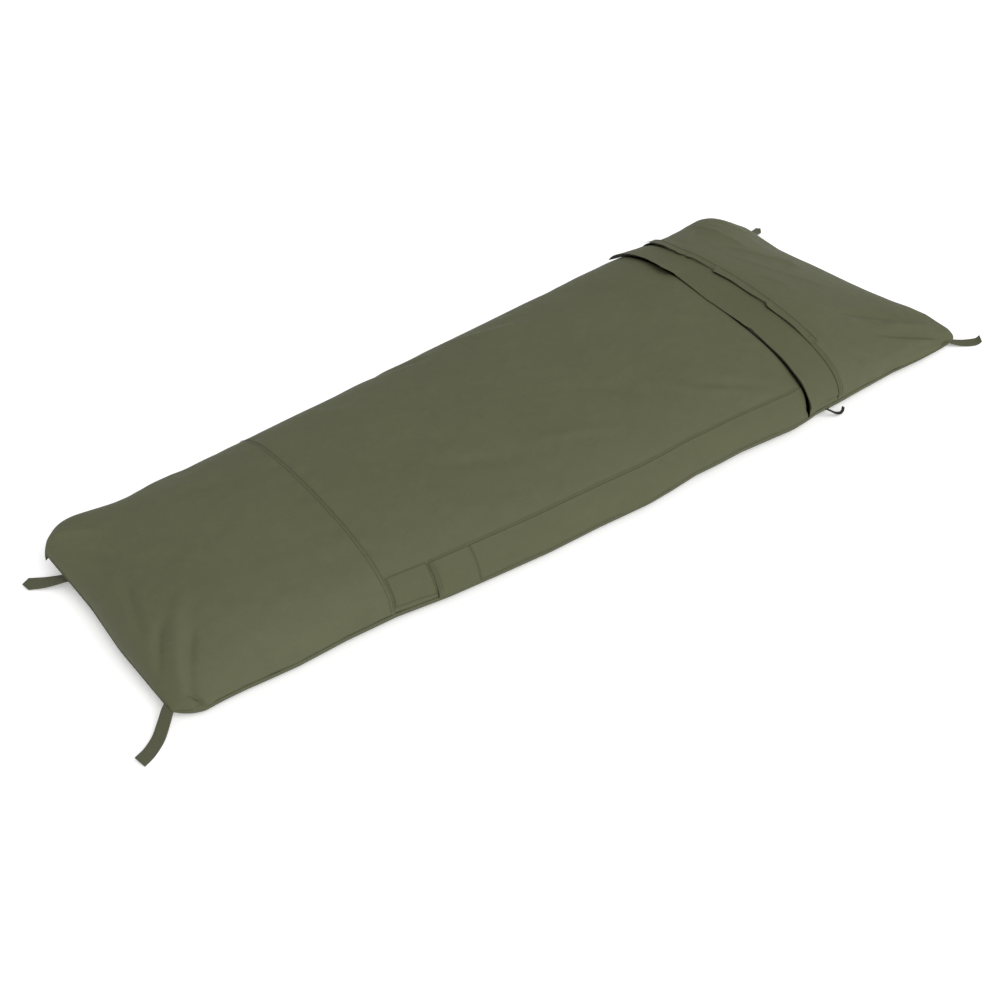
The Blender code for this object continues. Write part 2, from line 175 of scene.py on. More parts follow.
# ---------------------------------------------------------------- the bag's form

@dataclass(frozen=True)
class Crease:
    """A fold pressed or drawn into the cloth, from one spot on the bag to another, in plan."""

    start: Spot
    end: Spot
    height: float
    width: float
    bow: float = 0.0

    def rise(self, x: Array, y: Array) -> Array:
        """How far the fold lifts the cloth.

        Args:
            x: places along the bag.
            y: places across the bag.

        Returns:
            The height of the fold at each place.
        """
        run = np.array(self.end) - np.array(self.start)
        length = float(np.hypot(*run))
        along, across = run / length, np.array((-run[1], run[0])) / length
        forward = (x - self.start[0]) * along[0] + (y - self.start[1]) * along[1]
        share = forward / length
        side = (x - self.start[0]) * across[0] + (y - self.start[1]) * across[1]
        side = side - self.bow * 4.0 * share * (1.0 - share)
        fade = ease(-0.18, 0.30, share) * (1.0 - ease(0.70, 1.18, share))
        reach = side / self.width
        return self.height * fade * np.exp(-reach ** 2) * (1.0 - 0.35 * reach ** 2)


@dataclass(frozen=True)
class Swell:
    """A corner that the filling pushes, or a loop pulls, out of the plain form."""

    spot: Spot
    shift: tuple[float, float, float]
    reach: float

    def move(self, x: Array, y: Array, rise: Array) -> Array:
        """How far each place moves; the seam itself doesn't rise."""
        weight = np.exp(-((x - self.spot[0]) ** 2 + (y - self.spot[1]) ** 2) / self.reach ** 2)
        return np.stack((self.shift[0] * weight, self.shift[1] * weight, self.shift[2] * weight * rise), -1)


CORNERS = (
    Swell((-1.080, 0.265), (-0.016, 0.018, 0.038), 0.105),
    Swell((-1.100, -0.290), (0.004, -0.014, -0.006), 0.060),
    Swell((1.000, 0.360), (0.004, 0.016, 0.034), 0.125),
    Swell((1.130, -0.300), (0.014, 0.000, 0.014), 0.140),
    Swell((1.140, -0.385), (0.016, -0.014, 0.000), 0.045),
    Swell((1.060, -0.020), (0.000, 0.000, 0.010), 0.200),
)


@dataclass(frozen=True)
class BagForm:
    """The filled bag's plain form and its lines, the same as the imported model's."""

    foot_x: float = -1.125
    head_x: float = 1.140
    roundness: float = 2.4
    facets: int = 24
    perimeter_gap: float = 0.003
    foot_seam_x: float = -0.610
    zip_foot_x: float = -0.500
    side_seam_spot: Spot = (0.452, -0.356)
    widths: Stops = ((-1.125, 0.285), (-0.600, 0.325), (0.590, 0.405), (1.140, 0.398))
    crowns: Stops = ((-1.125, 0.105), (-0.90, 0.134), (-0.600, 0.130), (0.76, 0.130), (0.84, 0.114),
                     (0.96, 0.082), (1.140, 0.030))
    seams: Stops = ((-1.125, 0.035), (0.80, 0.035), (1.140, 0.018))
    storm_stops: Stops = ((-0.41, 0.596), (-0.30, 0.602), (0.0, 0.614), (0.18, 0.640), (0.41, 0.646))
    placket_stops: Stops = ((-0.41, 0.700), (-0.20, 0.708), (0.0, 0.716), (0.25, 0.716), (0.41, 0.748))
    zip_side_sway: Stops = ((-1.12, 0.010), (-1.06, 0.016), (-0.955, 0.012), (-0.84, 0.012), (-0.725, 0.005),
                            (-0.60, 0.003), (-0.475, 0.012), (-0.345, 0.015), (-0.21, 0.017), (-0.07, 0.013),
                            (0.075, 0.013), (0.15, 0.007), (0.23, -0.002), (0.30, -0.003), (0.38, -0.007),
                            (0.46, -0.005), (0.545, -0.003), (0.63, -0.012), (0.73, -0.010), (0.92, -0.012),
                            (1.00, -0.004), (1.07, 0.002), (1.14, 0.004))
    far_side_sway: Stops = ((-1.12, 0.0), (-0.9, 0.002), (0.30, -0.003), (0.70, -0.003), (0.85, 0.004),
                            (1.14, 0.0))
    swells: tuple[Swell, ...] = ()
    foot_sway: Stops = ((-0.30, 0.012), (-0.20, 0.007), (-0.07, 0.002), (0.07, 0.007), (0.20, 0.004), (0.30, 0.003))
    zip_side_spare: float = 0.006
    head_sway: Stops = ((-0.40, 0.020), (-0.28, 0.025), (-0.05, -0.004), (0.20, -0.027), (0.40, -0.020))

    def along(self, x: Array) -> Array:
        """Where x lies between the ends, from -1 at the foot to 1 at the head."""
        return (2.0 * x - self.head_x - self.foot_x) / (self.head_x - self.foot_x)

    def half_width(self, x: Array) -> Array:
        """Half the bag's width at its perimeter seam."""
        return between(self.widths, x) * (1.0 - 0.10 * np.abs(self.along(x)) ** 18)

    def seam_height(self, x: Array) -> Array:
        """The perimeter seam's height above the ground."""
        return between(self.seams, x)

    def angle_at(self, x: float, y: float) -> float:
        """The section's angle at which the top has this y."""
        share = -y / float(self.half_width(np.array(x)))
        return math.acos(math.copysign(min(1.0, abs(share)) ** (self.roundness / 2.0), share))

    def section(self, x: Array, angle: Array) -> Array:
        """Points of the rounded top: angle 0 is the zip side's seam and pi the far side's."""
        end = np.maximum(0.0, 1.0 - np.abs(self.along(x)) ** 14) ** 0.45
        y = -self.half_width(x) * signed_power(np.cos(angle), 2.0 / self.roundness)
        rise = between(self.crowns, x) * end * np.abs(np.sin(angle)) ** (2.0 / self.roundness)
        return np.stack((x, y, self.seam_height(x) + self.perimeter_gap + rise), -1)

    def underside(self, x: Array, angle: Array) -> Array:
        """Points of the floor, flat in the middle and turned up to the seam."""
        end = np.maximum(0.0, 1.0 - np.abs(self.along(x)) ** 30) ** 0.5
        turned = 1.0 - 1.9 * end * np.abs(np.sin(angle)) ** (2.0 / self.roundness)
        y = -self.half_width(x) * signed_power(np.cos(angle), 2.0 / self.roundness)
        return np.stack((x, y, self.seam_height(x) * np.maximum(0.0, turned)), -1)

    def facet_point(self, x: Array, angle: Array, lift: float) -> Array:
        """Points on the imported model's faceted section, lifted square to it, where its zips run.

        Args:
            x: places along the bag.
            angle: the section's angles.
            lift: the distance out of the surface.

        Returns:
            The points.
        """
        step = math.pi / self.facets

        def flat(turn: Array) -> Array:
            facet = np.clip(np.floor(turn / step), 0, self.facets - 1)
            share = (turn / step - facet)[..., None]
            return self.section(x, facet * step) * (1 - share) + self.section(x, (facet + 1) * step) * share
        side = unit(flat(np.minimum(angle + 0.004, math.pi)) - flat(np.maximum(angle - 0.004, 0.0)))
        outward = np.stack((np.zeros_like(side[..., 0]), -side[..., 2], side[..., 1]), -1)
        return flat(angle) + outward * lift

    def sway(self, x: Array, angle: Array) -> Array:
        """The outline's own unevenness: how far each point of the bag is out of the plain form."""
        side = np.abs(np.cos(angle)) ** 3
        low = (between(self.zip_side_sway, x) + self.zip_side_spare) * (angle < math.pi / 2)
        high = between(self.far_side_sway, x) * (angle >= math.pi / 2)
        y = -self.half_width(x) * signed_power(np.cos(angle), 2.0 / self.roundness)
        foot = hump(x, self.foot_x, 0.10) * between(self.foot_sway, y)
        head = hump(x, self.head_x, 0.16) * between(self.head_sway, y)
        sunk = -0.45 * np.maximum(low, 0.0) * np.abs(np.cos(angle)) ** 10
        plain = np.stack((foot + head, (high - low) * side, sunk), -1)
        rise = np.minimum(1.0, 3.0 * np.sin(angle))
        return plain + sum(swell.move(x, y, rise) for swell in self.swells)

    def storm_edge(self, y: Array) -> Array:
        """The line where the storm flap's cover over the chest zip ends."""
        return between(self.storm_stops, y)

    def placket_edge(self, y: Array) -> Array:
        """The line where the hood meets the storm flap."""
        return between(self.placket_stops, y)

    @property
    def side_seam_angle(self) -> float:
        """The angle of the seam that the side flap hangs from."""
        return self.angle_at(*self.side_seam_spot)

    @property
    def zip_angle(self) -> float:
        """The angle of the side zip."""
        return 0.42 * self.side_seam_angle


FOLDS = (
    # hood: drawn ridges from the pegged corners, and hollows between them
    Crease((0.912, 0.337), (0.949, 0.184), 0.0035, 0.012),
    Crease((0.867, 0.205), (1.010, 0.036), 0.0032, 0.011, 0.004),
    Crease((0.967, 0.110), (1.007, 0.040), 0.0022, 0.008),
    Crease((0.808, 0.016), (0.858, -0.069), 0.0022, 0.009),
    Crease((0.842, 0.120), (0.975, -0.085), 0.0020, 0.014, -0.008),
    Crease((0.876, -0.205), (1.035, -0.290), -0.0040, 0.016, 0.006),
    Crease((0.930, -0.316), (1.140, -0.384), -0.0062, 0.012),
    Crease((0.958, -0.287), (1.139, -0.353), 0.0042, 0.011),
    Crease((1.012, -0.380), (1.134, -0.379), -0.0030, 0.008),
    Crease((0.794, -0.341), (0.817, -0.385), -0.0030, 0.008),
    Crease((0.820, -0.320), (0.850, -0.372), 0.0024, 0.009),
    Crease((0.780, 0.270), (0.870, 0.330), 0.0022, 0.014),
    Crease((0.960, 0.330), (1.070, 0.250), -0.0030, 0.014, 0.006),
    Crease((0.760, -0.120), (0.900, -0.250), 0.0018, 0.018, 0.010),
    # foot: folds that run down to the two pegged corners, and the tucked corner beside the right one
    Crease((-1.115, 0.252), (-1.024, 0.160), 0.0040, 0.012, 0.004),
    Crease((-1.098, 0.215), (-1.040, 0.080), -0.0035, 0.018, -0.006),
    Crease((-1.060, 0.020), (-1.095, -0.130), -0.0040, 0.018, 0.004),
    Crease((-1.090, -0.040), (-1.112, -0.150), 0.0026, 0.010),
    Crease((-1.050, -0.130), (-1.116, -0.214), -0.0040, 0.013),
    Crease((-0.979, -0.109), (-1.101, -0.270), 0.0045, 0.022, -0.006),
    Crease((-1.004, -0.190), (-1.085, -0.262), -0.0030, 0.014),
    Crease((-1.084, -0.274), (-1.046, -0.300), -0.0040, 0.0060, -0.003),
    Crease((-1.072, -0.262), (-1.030, -0.290), 0.0036, 0.0085, -0.004),
    Crease((-1.066, -0.276), (-1.100, -0.290), -0.0030, 0.006),
    Crease((-0.900, 0.255), (-0.780, 0.290), 0.0030, 0.018),
    Crease((-0.860, 0.160), (-0.690, 0.100), -0.0020, 0.022, 0.010),
    Crease((-0.990, 0.060), (-0.900, -0.060), 0.0022, 0.024, 0.010),
    # body: long soft folds across the filling and short ones beside the side flap
    Crease((-0.430, 0.230), (-0.300, 0.100), 0.0020, 0.018, 0.010),
    Crease((-0.360, -0.080), (-0.160, -0.190), -0.0022, 0.022, -0.010),
    Crease((-0.120, -0.170), (0.080, -0.235), 0.0022, 0.018, 0.008),
    Crease((0.060, -0.060), (0.200, -0.180), -0.0018, 0.020, 0.012),
    Crease((0.250, -0.160), (0.420, -0.290), 0.0026, 0.018, -0.010),
    Crease((0.330, -0.230), (0.520, -0.330), -0.0026, 0.015, 0.006),
    Crease((0.430, 0.060), (0.560, -0.080), 0.0018, 0.020),
    Crease((0.380, 0.260), (0.500, 0.150), -0.0020, 0.020, 0.008),
    Crease((0.000, 0.300), (0.180, 0.230), 0.0024, 0.018, -0.008),
    Crease((-0.250, 0.330), (-0.090, 0.270), -0.0024, 0.016),
    Crease((0.120, -0.330), (0.180, -0.372), -0.0040, 0.010),
    Crease((0.300, -0.340), (0.330, -0.378), 0.0036, 0.010),
    Crease((-0.110, -0.315), (-0.060, -0.356), -0.0036, 0.012),
    Crease((-0.330, -0.300), (-0.300, -0.342), 0.0030, 0.010),
)


# ---------------------------------------------------------------- meshes

def grid_quads(rows: int, columns: int, kept: Array | None = None) -> Array:
    """The quads of a grid of points, rows along the bag and columns up its section.

    Args:
        rows: how many rows of points.
        columns: how many points in a row.
        kept: the cells to keep, all of them if it is None.

    Returns:
        Corner numbers, four to a quad.
    """
    index = np.arange(rows * columns).reshape(rows, columns)
    quads = np.stack((index[:-1, :-1], index[1:, :-1], index[1:, 1:], index[:-1, 1:]), -1)
    return quads.reshape(-1, 4) if kept is None else quads[kept]


def spread(points: Array) -> Array:
    """Distances along both ways of a grid of points, in metres, for a weave to follow."""
    def run(axis: int) -> Array:
        steps = np.linalg.norm(np.diff(points, axis=axis), axis=-1)
        return np.concatenate((np.zeros_like(np.take(steps, [0], axis)), np.cumsum(steps, axis)), axis)
    return np.stack((run(0), run(1)), -1)


def make_object(name: str, points: Array, faces: Array, surface: Array, materials: Sequence[bpy.types.Material],
                flat: Array | None = None, inner: Array | None = None) -> bpy.types.Object:
    """A mesh object from plain arrays.

    Args:
        name: the piece's name.
        points: its points.
        faces: its quads.
        surface: a place on the weave for each point, in metres.
        materials: its finishes.
        flat: which faces are flat shaded.
        inner: which faces take the second finish.

    Returns:
        The object, linked to the scene.
    """
    mesh = bpy.data.meshes.new(name)
    mesh.from_pydata(points.reshape(-1, 3).tolist(), [], faces.tolist())
    layer = mesh.uv_layers.new(name="weave")
    corners = np.zeros(len(mesh.loops), np.int32)
    mesh.loops.foreach_get("vertex_index", corners)
    layer.data.foreach_set("uv", surface.reshape(-1, 2)[corners].astype(np.float32).ravel())
    smooth = np.ones(len(mesh.polygons), bool) if flat is None else ~flat
    mesh.polygons.foreach_set("use_smooth", smooth)
    for material in materials:
        mesh.materials.append(material)
    if inner is not None and len(materials) > 1:
        mesh.polygons.foreach_set("material_index", inner.astype(np.int32))
    mesh.update()
    made = bpy.data.objects.new(name, mesh)
    bpy.context.scene.collection.objects.link(made)
    return made


def make_cloth(name: str, points: Array, outward: Array, thickness: float,
               materials: Sequence[bpy.types.Material], kept: Array | None = None) -> bpy.types.Object:
    """A closed sheet of cloth: an outer face, an inner face and the cut edge between them.

    Args:
        name: the piece's name.
        points: the outer face, rows by columns.
        outward: its outward directions.
        thickness: the cloth's thickness.
        materials: the finish outside, and inside if it differs.
        kept: the cells of the grid that are cloth.

    Returns:
        The cloth object.
    """
    rows, columns = points.shape[:2]
    quads = grid_quads(rows, columns, kept)
    count = rows * columns
    surface = spread(points).reshape(-1, 2)
    outer = points.reshape(-1, 3)
    under = outer - outward.reshape(-1, 3) * thickness
    edges = np.concatenate([quads[:, [k, (k + 1) % 4]] for k in range(4)])
    keys = edges[:, 0].astype(np.int64) * count + edges[:, 1]
    turned = edges[:, 1].astype(np.int64) * count + edges[:, 0]
    rim = edges[~np.isin(keys, turned)]
    rim_quads = np.stack((rim[:, 1], rim[:, 0], rim[:, 0] + count, rim[:, 1] + count), -1)
    faces = np.concatenate((quads, quads[:, ::-1] + count, rim_quads))
    inner = np.zeros(len(faces), bool)
    inner[len(quads):2 * len(quads)] = True
    flat = np.zeros(len(faces), bool)
    flat[2 * len(quads):] = True
    used = np.unique(faces)
    number = np.zeros(2 * count, int)
    number[used] = np.arange(len(used))
    every = np.concatenate((outer, under))[used]
    places = np.concatenate((surface, surface))[used]
    return make_object(name, every, number[faces], places, materials, flat, inner)


def ring_tube(centres: Array, across: Array, up: Array, half_width: Array, half_height: Array,
              sides: int = 8) -> tuple[Array, Array, Array]:
    """A closed tube of oval section along a line.

    Args:
        centres: points of the line.
        across: the section's sideways directions.
        up: the section's upward directions.
        half_width: half widths at each point.
        half_height: half heights at each point.
        sides: sides of the section.

    Returns:
        Points, quads and places on the weave.
    """
    turn = np.linspace(0.0, 2.0 * math.pi, sides, endpoint=False)
    wide = signed_power(np.cos(turn), 0.6)[None, :, None] * across[:, None] * half_width[:, None, None]
    high = signed_power(np.sin(turn), 0.6)[None, :, None] * up[:, None] * half_height[:, None, None]
    points = centres[:, None] + wide + high
    count = len(centres)
    index = np.arange(count * sides).reshape(count, sides)
    beside = np.roll(index, -1, 1)
    quads = np.stack((index[:-1], index[1:], beside[1:], beside[:-1]), -1).reshape(-1, 4)
    runs = np.concatenate(([0.0], np.cumsum(np.linalg.norm(np.diff(centres, axis=0), axis=1))))
    place = np.stack(np.broadcast_arrays(runs[:, None], (turn / (2 * math.pi) * 4)[None] * half_width[:, None]), -1)
    return points.reshape(-1, 3), quads, place.reshape(-1, 2)


def resample(line: Array, outward: Array, pitch: float) -> tuple[Array, Array, Array]:
    """Evenly spaced places along a line on the cloth.

    Args:
        line: points of the line.
        outward: the cloth's outward directions there.
        pitch: the spacing.

    Returns:
        Points, the line's directions and the outward directions.
    """
    runs = np.concatenate(([0.0], np.cumsum(np.linalg.norm(np.diff(line, axis=0), axis=1))))
    at = np.arange(0.5 * pitch, runs[-1], pitch)
    points = np.stack([np.interp(at, runs, line[:, k]) for k in range(3)], -1)
    ahead = np.stack([np.interp(at + 0.3 * pitch, runs, line[:, k]) for k in range(3)], -1)
    behind = np.stack([np.interp(at - 0.3 * pitch, runs, line[:, k]) for k in range(3)], -1)
    normals = unit(np.stack([np.interp(at, runs, outward[:, k]) for k in range(3)], -1))
    return points, unit(ahead - behind), normals


def make_stitches(name: str, lines: Sequence[tuple[Array, Array]], material: bpy.types.Material,
                  pitch: float = 0.0034, thread: float = 0.00042) -> bpy.types.Object:
    """Lockstitches along lines on the cloth, each a short arched thread that dives at both ends.

    Args:
        name: the piece's name.
        lines: (points, outward directions) of each line.
        material: the thread's finish.
        pitch: the stitch length.
        thread: the thread's radius.

    Returns:
        One object with every stitch.
    """
    stations = np.array((-0.46, -0.30, 0.0, 0.30, 0.46))
    rises = np.array((-0.9, 0.35, 0.75, 0.35, -0.9))
    widths = np.array((0.35, 0.95, 1.0, 0.95, 0.35))
    turn = np.linspace(0, 2 * math.pi, 5, endpoint=False)
    all_points, all_quads, all_places, used = [], [], [], 0
    ring = np.arange(25).reshape(5, 5)
    beside = np.roll(ring, -1, 1)
    sides = np.stack((ring[:-1], ring[1:], beside[1:], beside[:-1]), -1).reshape(-1, 4)
    for line, outward in lines:
        points, ahead, normals = resample(line, outward, pitch)
        across = np.cross(normals, ahead)
        middle = (points[:, None] + ahead[:, None] * (stations * pitch)[None, :, None]
                  + normals[:, None] * (rises * thread)[None, :, None])
        section = (across[:, None, None] * np.cos(turn)[None, None, :, None]
                   + normals[:, None, None] * np.sin(turn)[None, None, :, None])
        body = middle[:, :, None] + section * (widths * thread)[None, :, None, None]
        count = len(points)
        all_points.append(body.reshape(-1, 3))
        all_quads.append((sides[None] + (used + 25 * np.arange(count))[:, None, None]).reshape(-1, 4))
        places = np.stack(np.meshgrid(stations * pitch, turn * thread, indexing="ij"), -1)
        all_places.append(np.broadcast_to(places, (count, 5, 5, 2)).reshape(-1, 2))
        used += 25 * count
    return make_object(name, np.concatenate(all_points), np.concatenate(all_quads),
                       np.concatenate(all_places), [material])


# ---------------------------------------------------------------- finishes

class Shade:
    """A value in a finish, which arithmetic turns into Math nodes."""

    def __init__(self, palette: "Palette", socket: bpy.types.NodeSocket) -> None:
        """Wraps a node's output socket."""
        self.palette, self.socket = palette, socket

    def sum_with(self, operation: str, other: "Shade | float", turned: bool = False) -> "Shade":
        """A Math node on this value and another.

        Args:
            operation: the Math node's operation.
            other: the other value.
            turned: whether the other value comes first.

        Returns:
            The result.
        """
        pair = (other, self) if turned else (self, other)
        return self.palette.node("ShaderNodeMath", {"operation": operation}, {0: pair[0], 1: pair[1]})

    def __add__(self, other: "Shade | float") -> "Shade":
        """This value and another."""
        return self.sum_with("ADD", other)

    __radd__ = __add__

    def __sub__(self, other: "Shade | float") -> "Shade":
        """This value less another."""
        return self.sum_with("SUBTRACT", other)

    def __rsub__(self, other: float) -> "Shade":
        """Another value less this one."""
        return self.sum_with("SUBTRACT", other, turned=True)

    def __mul__(self, other: "Shade | float") -> "Shade":
        """This value times another."""
        return self.sum_with("MULTIPLY", other)

    __rmul__ = __mul__

    def power(self, other: float) -> "Shade":
        """This value to a power."""
        return self.sum_with("POWER", other)

    def sine(self) -> "Shade":
        """The sine of this value."""
        return self.palette.node("ShaderNodeMath", {"operation": "SINE"}, {0: self})

    def size(self) -> "Shade":
        """This value without its sign."""
        return self.palette.node("ShaderNodeMath", {"operation": "ABSOLUTE"}, {0: self})

    def kept_within(self, low: float, high: float) -> "Shade":
        """This value, held between two limits."""
        return self.sum_with("MAXIMUM", low).sum_with("MINIMUM", high)


class Palette:
    """Builds one finish's nodes."""

    def __init__(self, name: str) -> None:
        """Starts a finish of this name."""
        self.material = bpy.data.materials.new(name)
        self.material.use_nodes = True
        self.tree = self.material.node_tree
        self.shader = self.tree.nodes["Principled BSDF"]

    def node(self, kind: str, settings: dict[str, Any] | None = None,
             inputs: dict[int | str, Any] | None = None, output: int | str = 0) -> Shade:
        """Adds any node.

        Args:
            kind: the node's type.
            settings: its own settings, set first; "stops" are a ramp's.
            inputs: values or links for its sockets.
            output: the socket to hand back.

        Returns:
            The chosen output.
        """
        made = self.tree.nodes.new(kind)
        for key, value in (settings or {}).items():
            if key == "stops":
                while len(made.color_ramp.elements) < len(value):
                    made.color_ramp.elements.new(1.0)
                for element, (place, colour) in zip(made.color_ramp.elements, value):
                    element.position, element.color = place, (*colour, 1.0)
            else:
                setattr(made, key, value)
        for key, value in (inputs or {}).items():
            self.feed(made.inputs[key], value)
        return Shade(self, made.outputs[output])

    def feed(self, socket: bpy.types.NodeSocket, value: Any) -> None:
        """Links a shade to a socket, or sets it to a plain value."""
        if isinstance(value, Shade):
            self.tree.links.new(value.socket, socket)
        elif isinstance(value, tuple) and len(value) == 3 and socket.type == "RGBA":
            socket.default_value = (*value, 1.0)
        else:
            socket.default_value = value

    def weave_place(self) -> Shade:
        """The place on the weave, in metres."""
        return self.node("ShaderNodeTexCoord", output="UV")

    def object_place(self) -> Shade:
        """The place in the model's frame, in metres."""
        return self.node("ShaderNodeTexCoord", output="Object")

    def ways(self, place: Shade) -> tuple[Shade, Shade, Shade]:
        """The three parts of a place."""
        first = self.node("ShaderNodeSeparateXYZ", {}, {0: place})
        outputs = first.socket.node.outputs
        return first, Shade(self, outputs[1]), Shade(self, outputs[2])

    def noise(self, place: Shade, scale: float, detail: float = 2.0, rough: float = 0.5) -> Shade:
        """Cloudy noise about 0.5, so many patches to the metre."""
        return self.node("ShaderNodeTexNoise", {}, {"Vector": place, "Scale": scale, "Detail": detail,
                                                     "Roughness": rough})

    def tint(self, colour: Colour, share: Shade) -> Shade:
        """A colour made lighter or darker by a share round 1."""
        return self.node("ShaderNodeMix", {"data_type": "RGBA", "blend_type": "MULTIPLY"},
                         {0: 1.0, 6: colour, 7: share}, output=2)

    def mix(self, share: Shade, first: Colour | Shade, second: Colour | Shade) -> Shade:
        """A colour between two."""
        return self.node("ShaderNodeMix", {"data_type": "RGBA"}, {0: share, 6: first, 7: second}, output=2)

    def finish(self, colour: Shade | Colour, roughness: Shade | float, height: Shade | None,
               metallic: float = 0.0, specular: float = 0.5, sheen: float = 0.0) -> bpy.types.Material:
        """Ties the finish together.

        Args:
            colour: the base colour.
            roughness: the roughness.
            height: relief, in metres.
            metallic: how metallic it is.
            specular: the specular level.
            sheen: the weight of the cloth's sheen.

        Returns:
            The material.
        """
        inputs = self.shader.inputs
        self.feed(inputs["Base Color"], colour)
        self.feed(inputs["Roughness"], roughness)
        inputs["Metallic"].default_value = metallic
        inputs["Specular IOR Level"].default_value = specular
        inputs["Sheen Weight"].default_value = sheen
        inputs["Sheen Roughness"].default_value = 0.6
        if height is not None:
            bump = self.node("ShaderNodeBump", {}, {"Strength": 1.0, "Distance": 1.0, "Height": height})
            self.feed(inputs["Normal"], bump)
        return self.material


@dataclass(frozen=True)
class ClothFinish:
    """A woven laminate: plain weave, a slight crinkle, uneven dye and painted shade along its creases."""

    name: str
    colour: Colour
    roughness: float = 0.66
    yarn: float = 0.0006
    yarn_relief: float = 0.000035
    crinkle: float = 0.0015
    # how uneven the dye is; it also sets how much painted shade darkens the crease lines
    mottle_and_crease_shade: float = 0.13
    sheen: float = 0.0
    specular: float = 0.12

    def make(self) -> bpy.types.Material:
        """The cloth's material."""
        palette = Palette(self.name)
        place = palette.weave_place()
        warp, weft, _ = palette.ways(place)
        turn = 2.0 * math.pi / self.yarn
        weave = (warp * turn).sine() * (weft * turn).sine()
        broad = palette.noise(place, 5.0, 3.0, 0.55)
        cloudy = palette.noise(place, 34.0, 3.0, 0.6)
        fine = palette.noise(place, 420.0, 2.0, 0.6)
        folds = palette.noise(place, 17.0, 4.0, 0.52)
        # crease lines of the fold noise: a slight groove in the relief, and painted shade in the colour below
        creases = 1.0 - ((folds - 0.5).size() * 7.0).kept_within(0.0, 1.0)
        crinkle = palette.noise(place, 70.0, 2.0, 0.5)
        # the colour's share: uneven dye and the weave, less painted shade that darkens the colour along the crease
        # lines
        shade = (1.0 + (broad - 0.5) * (1.1 * self.mottle_and_crease_shade) + (cloudy - 0.5) * (0.9 * self.mottle_and_crease_shade)
                 + (fine - 0.5) * (0.8 * self.mottle_and_crease_shade) + weave * 0.035 - creases * (0.16 * self.mottle_and_crease_shade))
        height = (weave * self.yarn_relief + folds * (2.2 * self.crinkle) + crinkle * (0.16 * self.crinkle)
                  - creases.power(2.0) * (0.12 * self.crinkle) + fine * (0.4 * self.yarn_relief))
        rough = self.roughness + (cloudy - 0.5) * 0.16 + (fine - 0.5) * 0.08
        return palette.finish(palette.tint(self.colour, shade), rough, height,
                              specular=self.specular, sheen=self.sheen)


@dataclass(frozen=True)
class WebbingFinish:
    """Woven tape: a herringbone of thick yarns, with fuzz and uneven wear."""

    name: str
    colour: Colour
    width: float = 0.025
    rib: float = 0.0016
    relief: float = 0.00012
    wear: float = 0.25
    roughness: float = 0.82

    def make(self) -> bpy.types.Material:
        """The tape's material."""
        palette = Palette(self.name)
        place = palette.weave_place()
        run, across, _ = palette.ways(place)
        turn = 2.0 * math.pi / self.rib
        zigzag = ((across * (2.0 * math.pi / (self.width / 3.0))).sine().size() * 1.6 + run * turn).sine()
        ends = (across * (turn * 1.6)).sine()
        fuzz = palette.noise(place, 900.0, 2.0, 0.6)
        dirt = palette.noise(place, 60.0, 3.0, 0.6)
        shade = 1.0 + zigzag * 0.14 + ends * 0.06 + (fuzz - 0.5) * 0.35 + (dirt - 0.5) * self.wear
        height = zigzag * self.relief + ends * (0.5 * self.relief) + fuzz * (0.5 * self.relief)
        rough = self.roughness + (dirt - 0.5) * 0.15
        return palette.finish(palette.tint(self.colour, shade), rough, height, specular=0.25, sheen=0.10)


@dataclass(frozen=True)
class SpunFinish:
    """Thread and hook-and-loop pads: short fuzzy fibres."""

    name: str
    colour: Colour
    grain: float = 1500.0
    relief: float = 0.0002
    roughness: float = 0.88

    def make(self) -> bpy.types.Material:
        """The fibres' material."""
        palette = Palette(self.name)
        place = palette.object_place()
        fibres = palette.noise(place, self.grain, 2.0, 0.7)
        patches = palette.noise(place, 0.1 * self.grain, 2.0, 0.6)
        shade = 1.0 + (fibres - 0.5) * 0.6 + (patches - 0.5) * 0.25
        rough = self.roughness + (patches - 0.5) * 0.12
        return palette.finish(palette.tint(self.colour, shade), rough, fibres * self.relief, specular=0.2,
                              sheen=0.05)


@dataclass(frozen=True)
class HardFinish:
    """Moulded zip teeth and a painted metal slider, worn in scattered patches."""

    name: str
    colour: Colour
    worn: Colour
    roughness: float = 0.42
    metallic: float = 0.0

    def make(self) -> bpy.types.Material:
        """The hard piece's material."""
        palette = Palette(self.name)
        place = palette.object_place()
        scuffs = palette.noise(place, 260.0, 4.0, 0.65)
        grain = palette.noise(place, 2600.0, 2.0, 0.6)
        wear = ((scuffs - 0.60) * 7.0).kept_within(0.0, 1.0)
        colour = palette.mix(wear, self.colour, self.worn)
        rough = self.roughness + (scuffs - 0.5) * 0.25
        return palette.finish(colour, rough, grain * 0.00003, metallic=self.metallic, specular=0.5)


